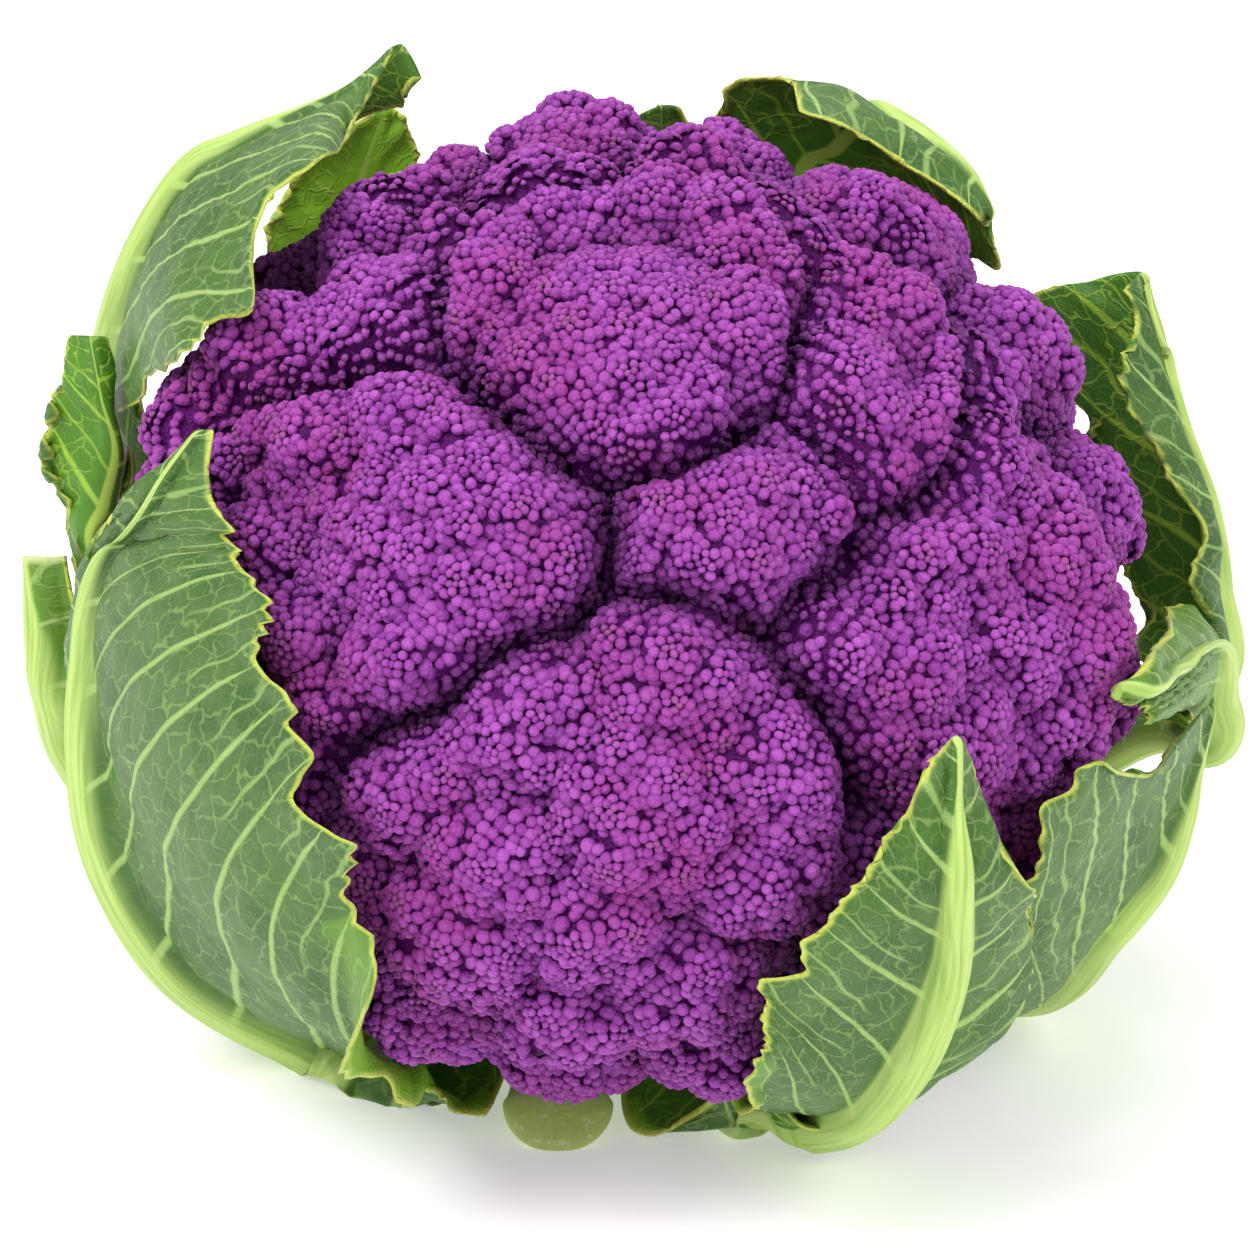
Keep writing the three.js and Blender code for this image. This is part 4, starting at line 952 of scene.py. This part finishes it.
def under_piece(index):
    """The flesh that shows between a floret's beads, painted dark as shade"""
    one = florets[index]
    piece, directions = cap_net(one)
    reach = np.full(len(directions), one["radius"] - LOBE_RELIEF)
    for lobe in lobes:
        if lobe["floret"] == index:
            middle = lobe["centre"] - one["centre"]
            reach = np.maximum(reach, ball_reach(directions, middle, lobe["radius"] - 0.15))
    points = one["centre"] + directions * reach[:, None]
    gaps = length(points[:, None] - centres) - radii + LOBE_RELIEF + 1.6
    gaps[:, index] = 9
    below = points @ UNDERSIDE - UNDERSIDE_DEPTH
    depth = dome_reach(unit(points)) - length(points)
    hidden = (gaps.min(1) < 0) | (below > 4)
    points = points - np.outer(np.maximum(below - 0.5, 0) * 0.8, UNDERSIDE)
    dip = crease_dip(points)
    points -= unit(points) * dip[:, None]
    place(piece, points + HEAD_CENTRE)
    plain = np.zeros(len(points))
    # bead 0 and the depth below the dome give this flesh the darkest tones: painted shade between the
    # beads
    mark(piece, bead=plain, apex=plain, depth=(depth + dip) / VALLEY_DEPTH, varied=plain)
    open_up(piece, "DESELECT")
    bpy.ops.mesh.select_mode(type="VERT")
    close_up()
    piece.data.vertices.foreach_set("select", hidden)
    bpy.ops.object.mode_set(mode="EDIT")
    bpy.ops.mesh.delete(type="VERT")
    close_up()
    if len(piece.data.polygons) < 20:
        bpy.data.objects.remove(piece)
        return None
    return piece


florets = all_florets()
centres, radii = (np.array([one[key] for one in florets]) for key in ("centre", "radius"))
lobes = all_lobes()
beads = all_beads()
skin = Finish("curd_skin", 0.5, 0.16)
where = skin.where()
bead, apex, depth, varied = (skin.value_at(name) for name in ("bead", "apex", "depth", "varied"))
buds = skin.made("TexVoronoi", {"Vector": where, "Scale": 1500.0}).outputs["Distance"]
grain = skin.maths("SUBTRACT", 1.0, buds)
patch = skin.cloudy(where, 45, 2.0)
lit = skin.mixed(varied, (130, 42, 140), (170, 80, 178))
lit = skin.mixed(skin.between(patch, 0.42, 0.7), lit, (150, 50, 140))
# painted shade: each bead darkens from its lit tone towards its foot, down to (84, 8, 94), the tone of
# the flesh between the beads
purple = skin.mixed(skin.between(bead, 0.0, 0.85), (84, 8, 94), lit)
# painted shade: the deeper a point lies below the dome, in the crevices between lobes and florets, the
# more its purple darkens towards (60, 4, 72)
shaded = skin.times(skin.between(depth, 0.25, 1.2), 0.75)
tips = skin.times(skin.between(apex, 0.93, 1.0), skin.between(patch, 0.42, 0.6))
# pale frost on the bead tops: partly the curd's bloom, partly a painted highlight on each bead's top
frost_and_highlight = skin.times(skin.times(grain, bead), 0.3)
skin.colour(skin.layered(purple, (shaded, (60, 4, 72)), (skin.times(tips, 0.45), (134, 84, 104)),
                         (frost_and_highlight, (190, 120, 200))))
skin.raised(grain, 0.00035, 0.9)
skin.soft(0.12, 0.001, 0.0003, 0.001)
beads = beads[np.argsort(beads[:, FLORET], kind="stable")]
parted = np.searchsorted(beads[:, FLORET], np.arange(-1, len(florets) + 1))
shares = math.ceil(len(beads) / BEADS_A_PIECE)
share_of = parted[:-1] * shares // (len(beads) + 1)
for number in range(shares):
    start, end = np.searchsorted(share_of, [number, number + 1])
    piece = bead_piece(f"florets_{number + 1}", beads[parted[start]:parted[end]])
    unders = [under for under in map(under_piece, range(max(start - 1, 0), end - 1)) if under]
    # the flesh gets the lowest fifth of the map, a strip for each floret
    for spot, under in enumerate(unders):
        layer = under.data.uv_layers["OFBake"].data
        flat = np.empty(len(layer) * 2, np.float32)
        layer.foreach_get("uv", flat)
        flat = (flat.reshape(-1, 2) * [0.96, 0.19] + [0.02 + spot, 0]) / [len(unders), 1]
        layer.foreach_set("uv", flat.astype(np.float32).ravel())
    pick(*unders, piece)
    bpy.ops.object.join()
    bpy.ops.object.shade_smooth()
    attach(piece, "root")
    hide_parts("curd")
    piece.data.materials.clear()
    skin.cover(piece)

# The heart of the head, where the floret stalks run together: painted dark as shade where it shows
# between the florets, and pale underneath, where the leaves and the stem hide most of it.
heart, turn, level = round_piece("curd_heart", 96, 64)
directions = leaning(-UNDERSIDE, np.pi * (1 - level), turn)
reach = dome_reach(directions) - VALLEY_DEPTH - 4 - crease_dip(directions)
reach = np.minimum(reach, underside_reach(directions, UNDERSIDE_DEPTH - 0.5))
place(heart, directions * reach[:, None] + HEAD_CENTRE)
mark(heart, under=directions @ UNDERSIDE)
finished(heart, "root", "floret", "curd")
flesh = Finish("heart_flesh", 0.6, 0.1)
pale = flesh.mixed(flesh.cloudy(flesh.where(), 150, 3.0), (150, 110, 130), (206, 212, 160))
under = flesh.between(flesh.value_at("under"), 0.45, 0.6)
# painted shade: dark purple (60, 4, 72) wherever it shows between the florets, its pale flesh only
# underneath
flesh.colour(flesh.mixed(under, (60, 4, 72), pale))
flesh.cover(heart)

# The table it stands on: a plain pale sheet under soft studio light, seen from in front and above.
floor = begin("floor", "plane", size=6)
paper = Finish("floor_paper", 0.6, 0.2)
paper.inputs["Base Color"].default_value = (0.9, 0.9, 0.9, 1)
paper.inputs["Emission Color"].default_value = (1, 1, 1, 1)
paper.inputs["Emission Strength"].default_value = 0.35
paper.cover(floor)

world = bpy.data.worlds.new("studio")
bpy.context.scene.world = world
world.use_nodes = True
sky = world.node_tree.nodes["Background"].inputs
sky["Color"].default_value = (1, 1, 1, 1)
sky["Strength"].default_value = 0.58


def soft_lamp(name, spot, size, power):
    """A large soft lamp that looks at the head"""
    lamp = bpy.data.lights.new(name, "AREA")
    lamp.size = size
    lamp.energy = power
    holder = bpy.data.objects.new(name, lamp)
    bpy.context.collection.objects.link(holder)
    holder.location = spot
    aim = Vector((0, 0, 0.07)) - Vector(spot)
    holder.rotation_euler = aim.to_track_quat("-Z", "Y").to_euler()


soft_lamp("window_left", (-0.6, -0.5, 1.1), 0.6, 12)
soft_lamp("window_right", (0.9, -0.6, 0.8), 0.9, 6)
soft_lamp("top", (0.1, 0.5, 1.1), 0.8, 5)

VIEW_DISTANCE = 850
VIEW_WIDTH = 202.3
lens = bpy.data.cameras.new("photo_view")
lens.sensor_width = 36
lens.lens = lens.sensor_width * VIEW_DISTANCE / VIEW_WIDTH
camera = bpy.data.objects.new("photo_view", lens)
bpy.context.collection.objects.link(camera)
camera.location = (-0.000807, -0.826446, 0.411369)
camera.rotation_euler = (math.radians(67), 0, 0)
bpy.context.scene.camera = camera
bpy.context.scene.view_settings.view_transform = "Standard"
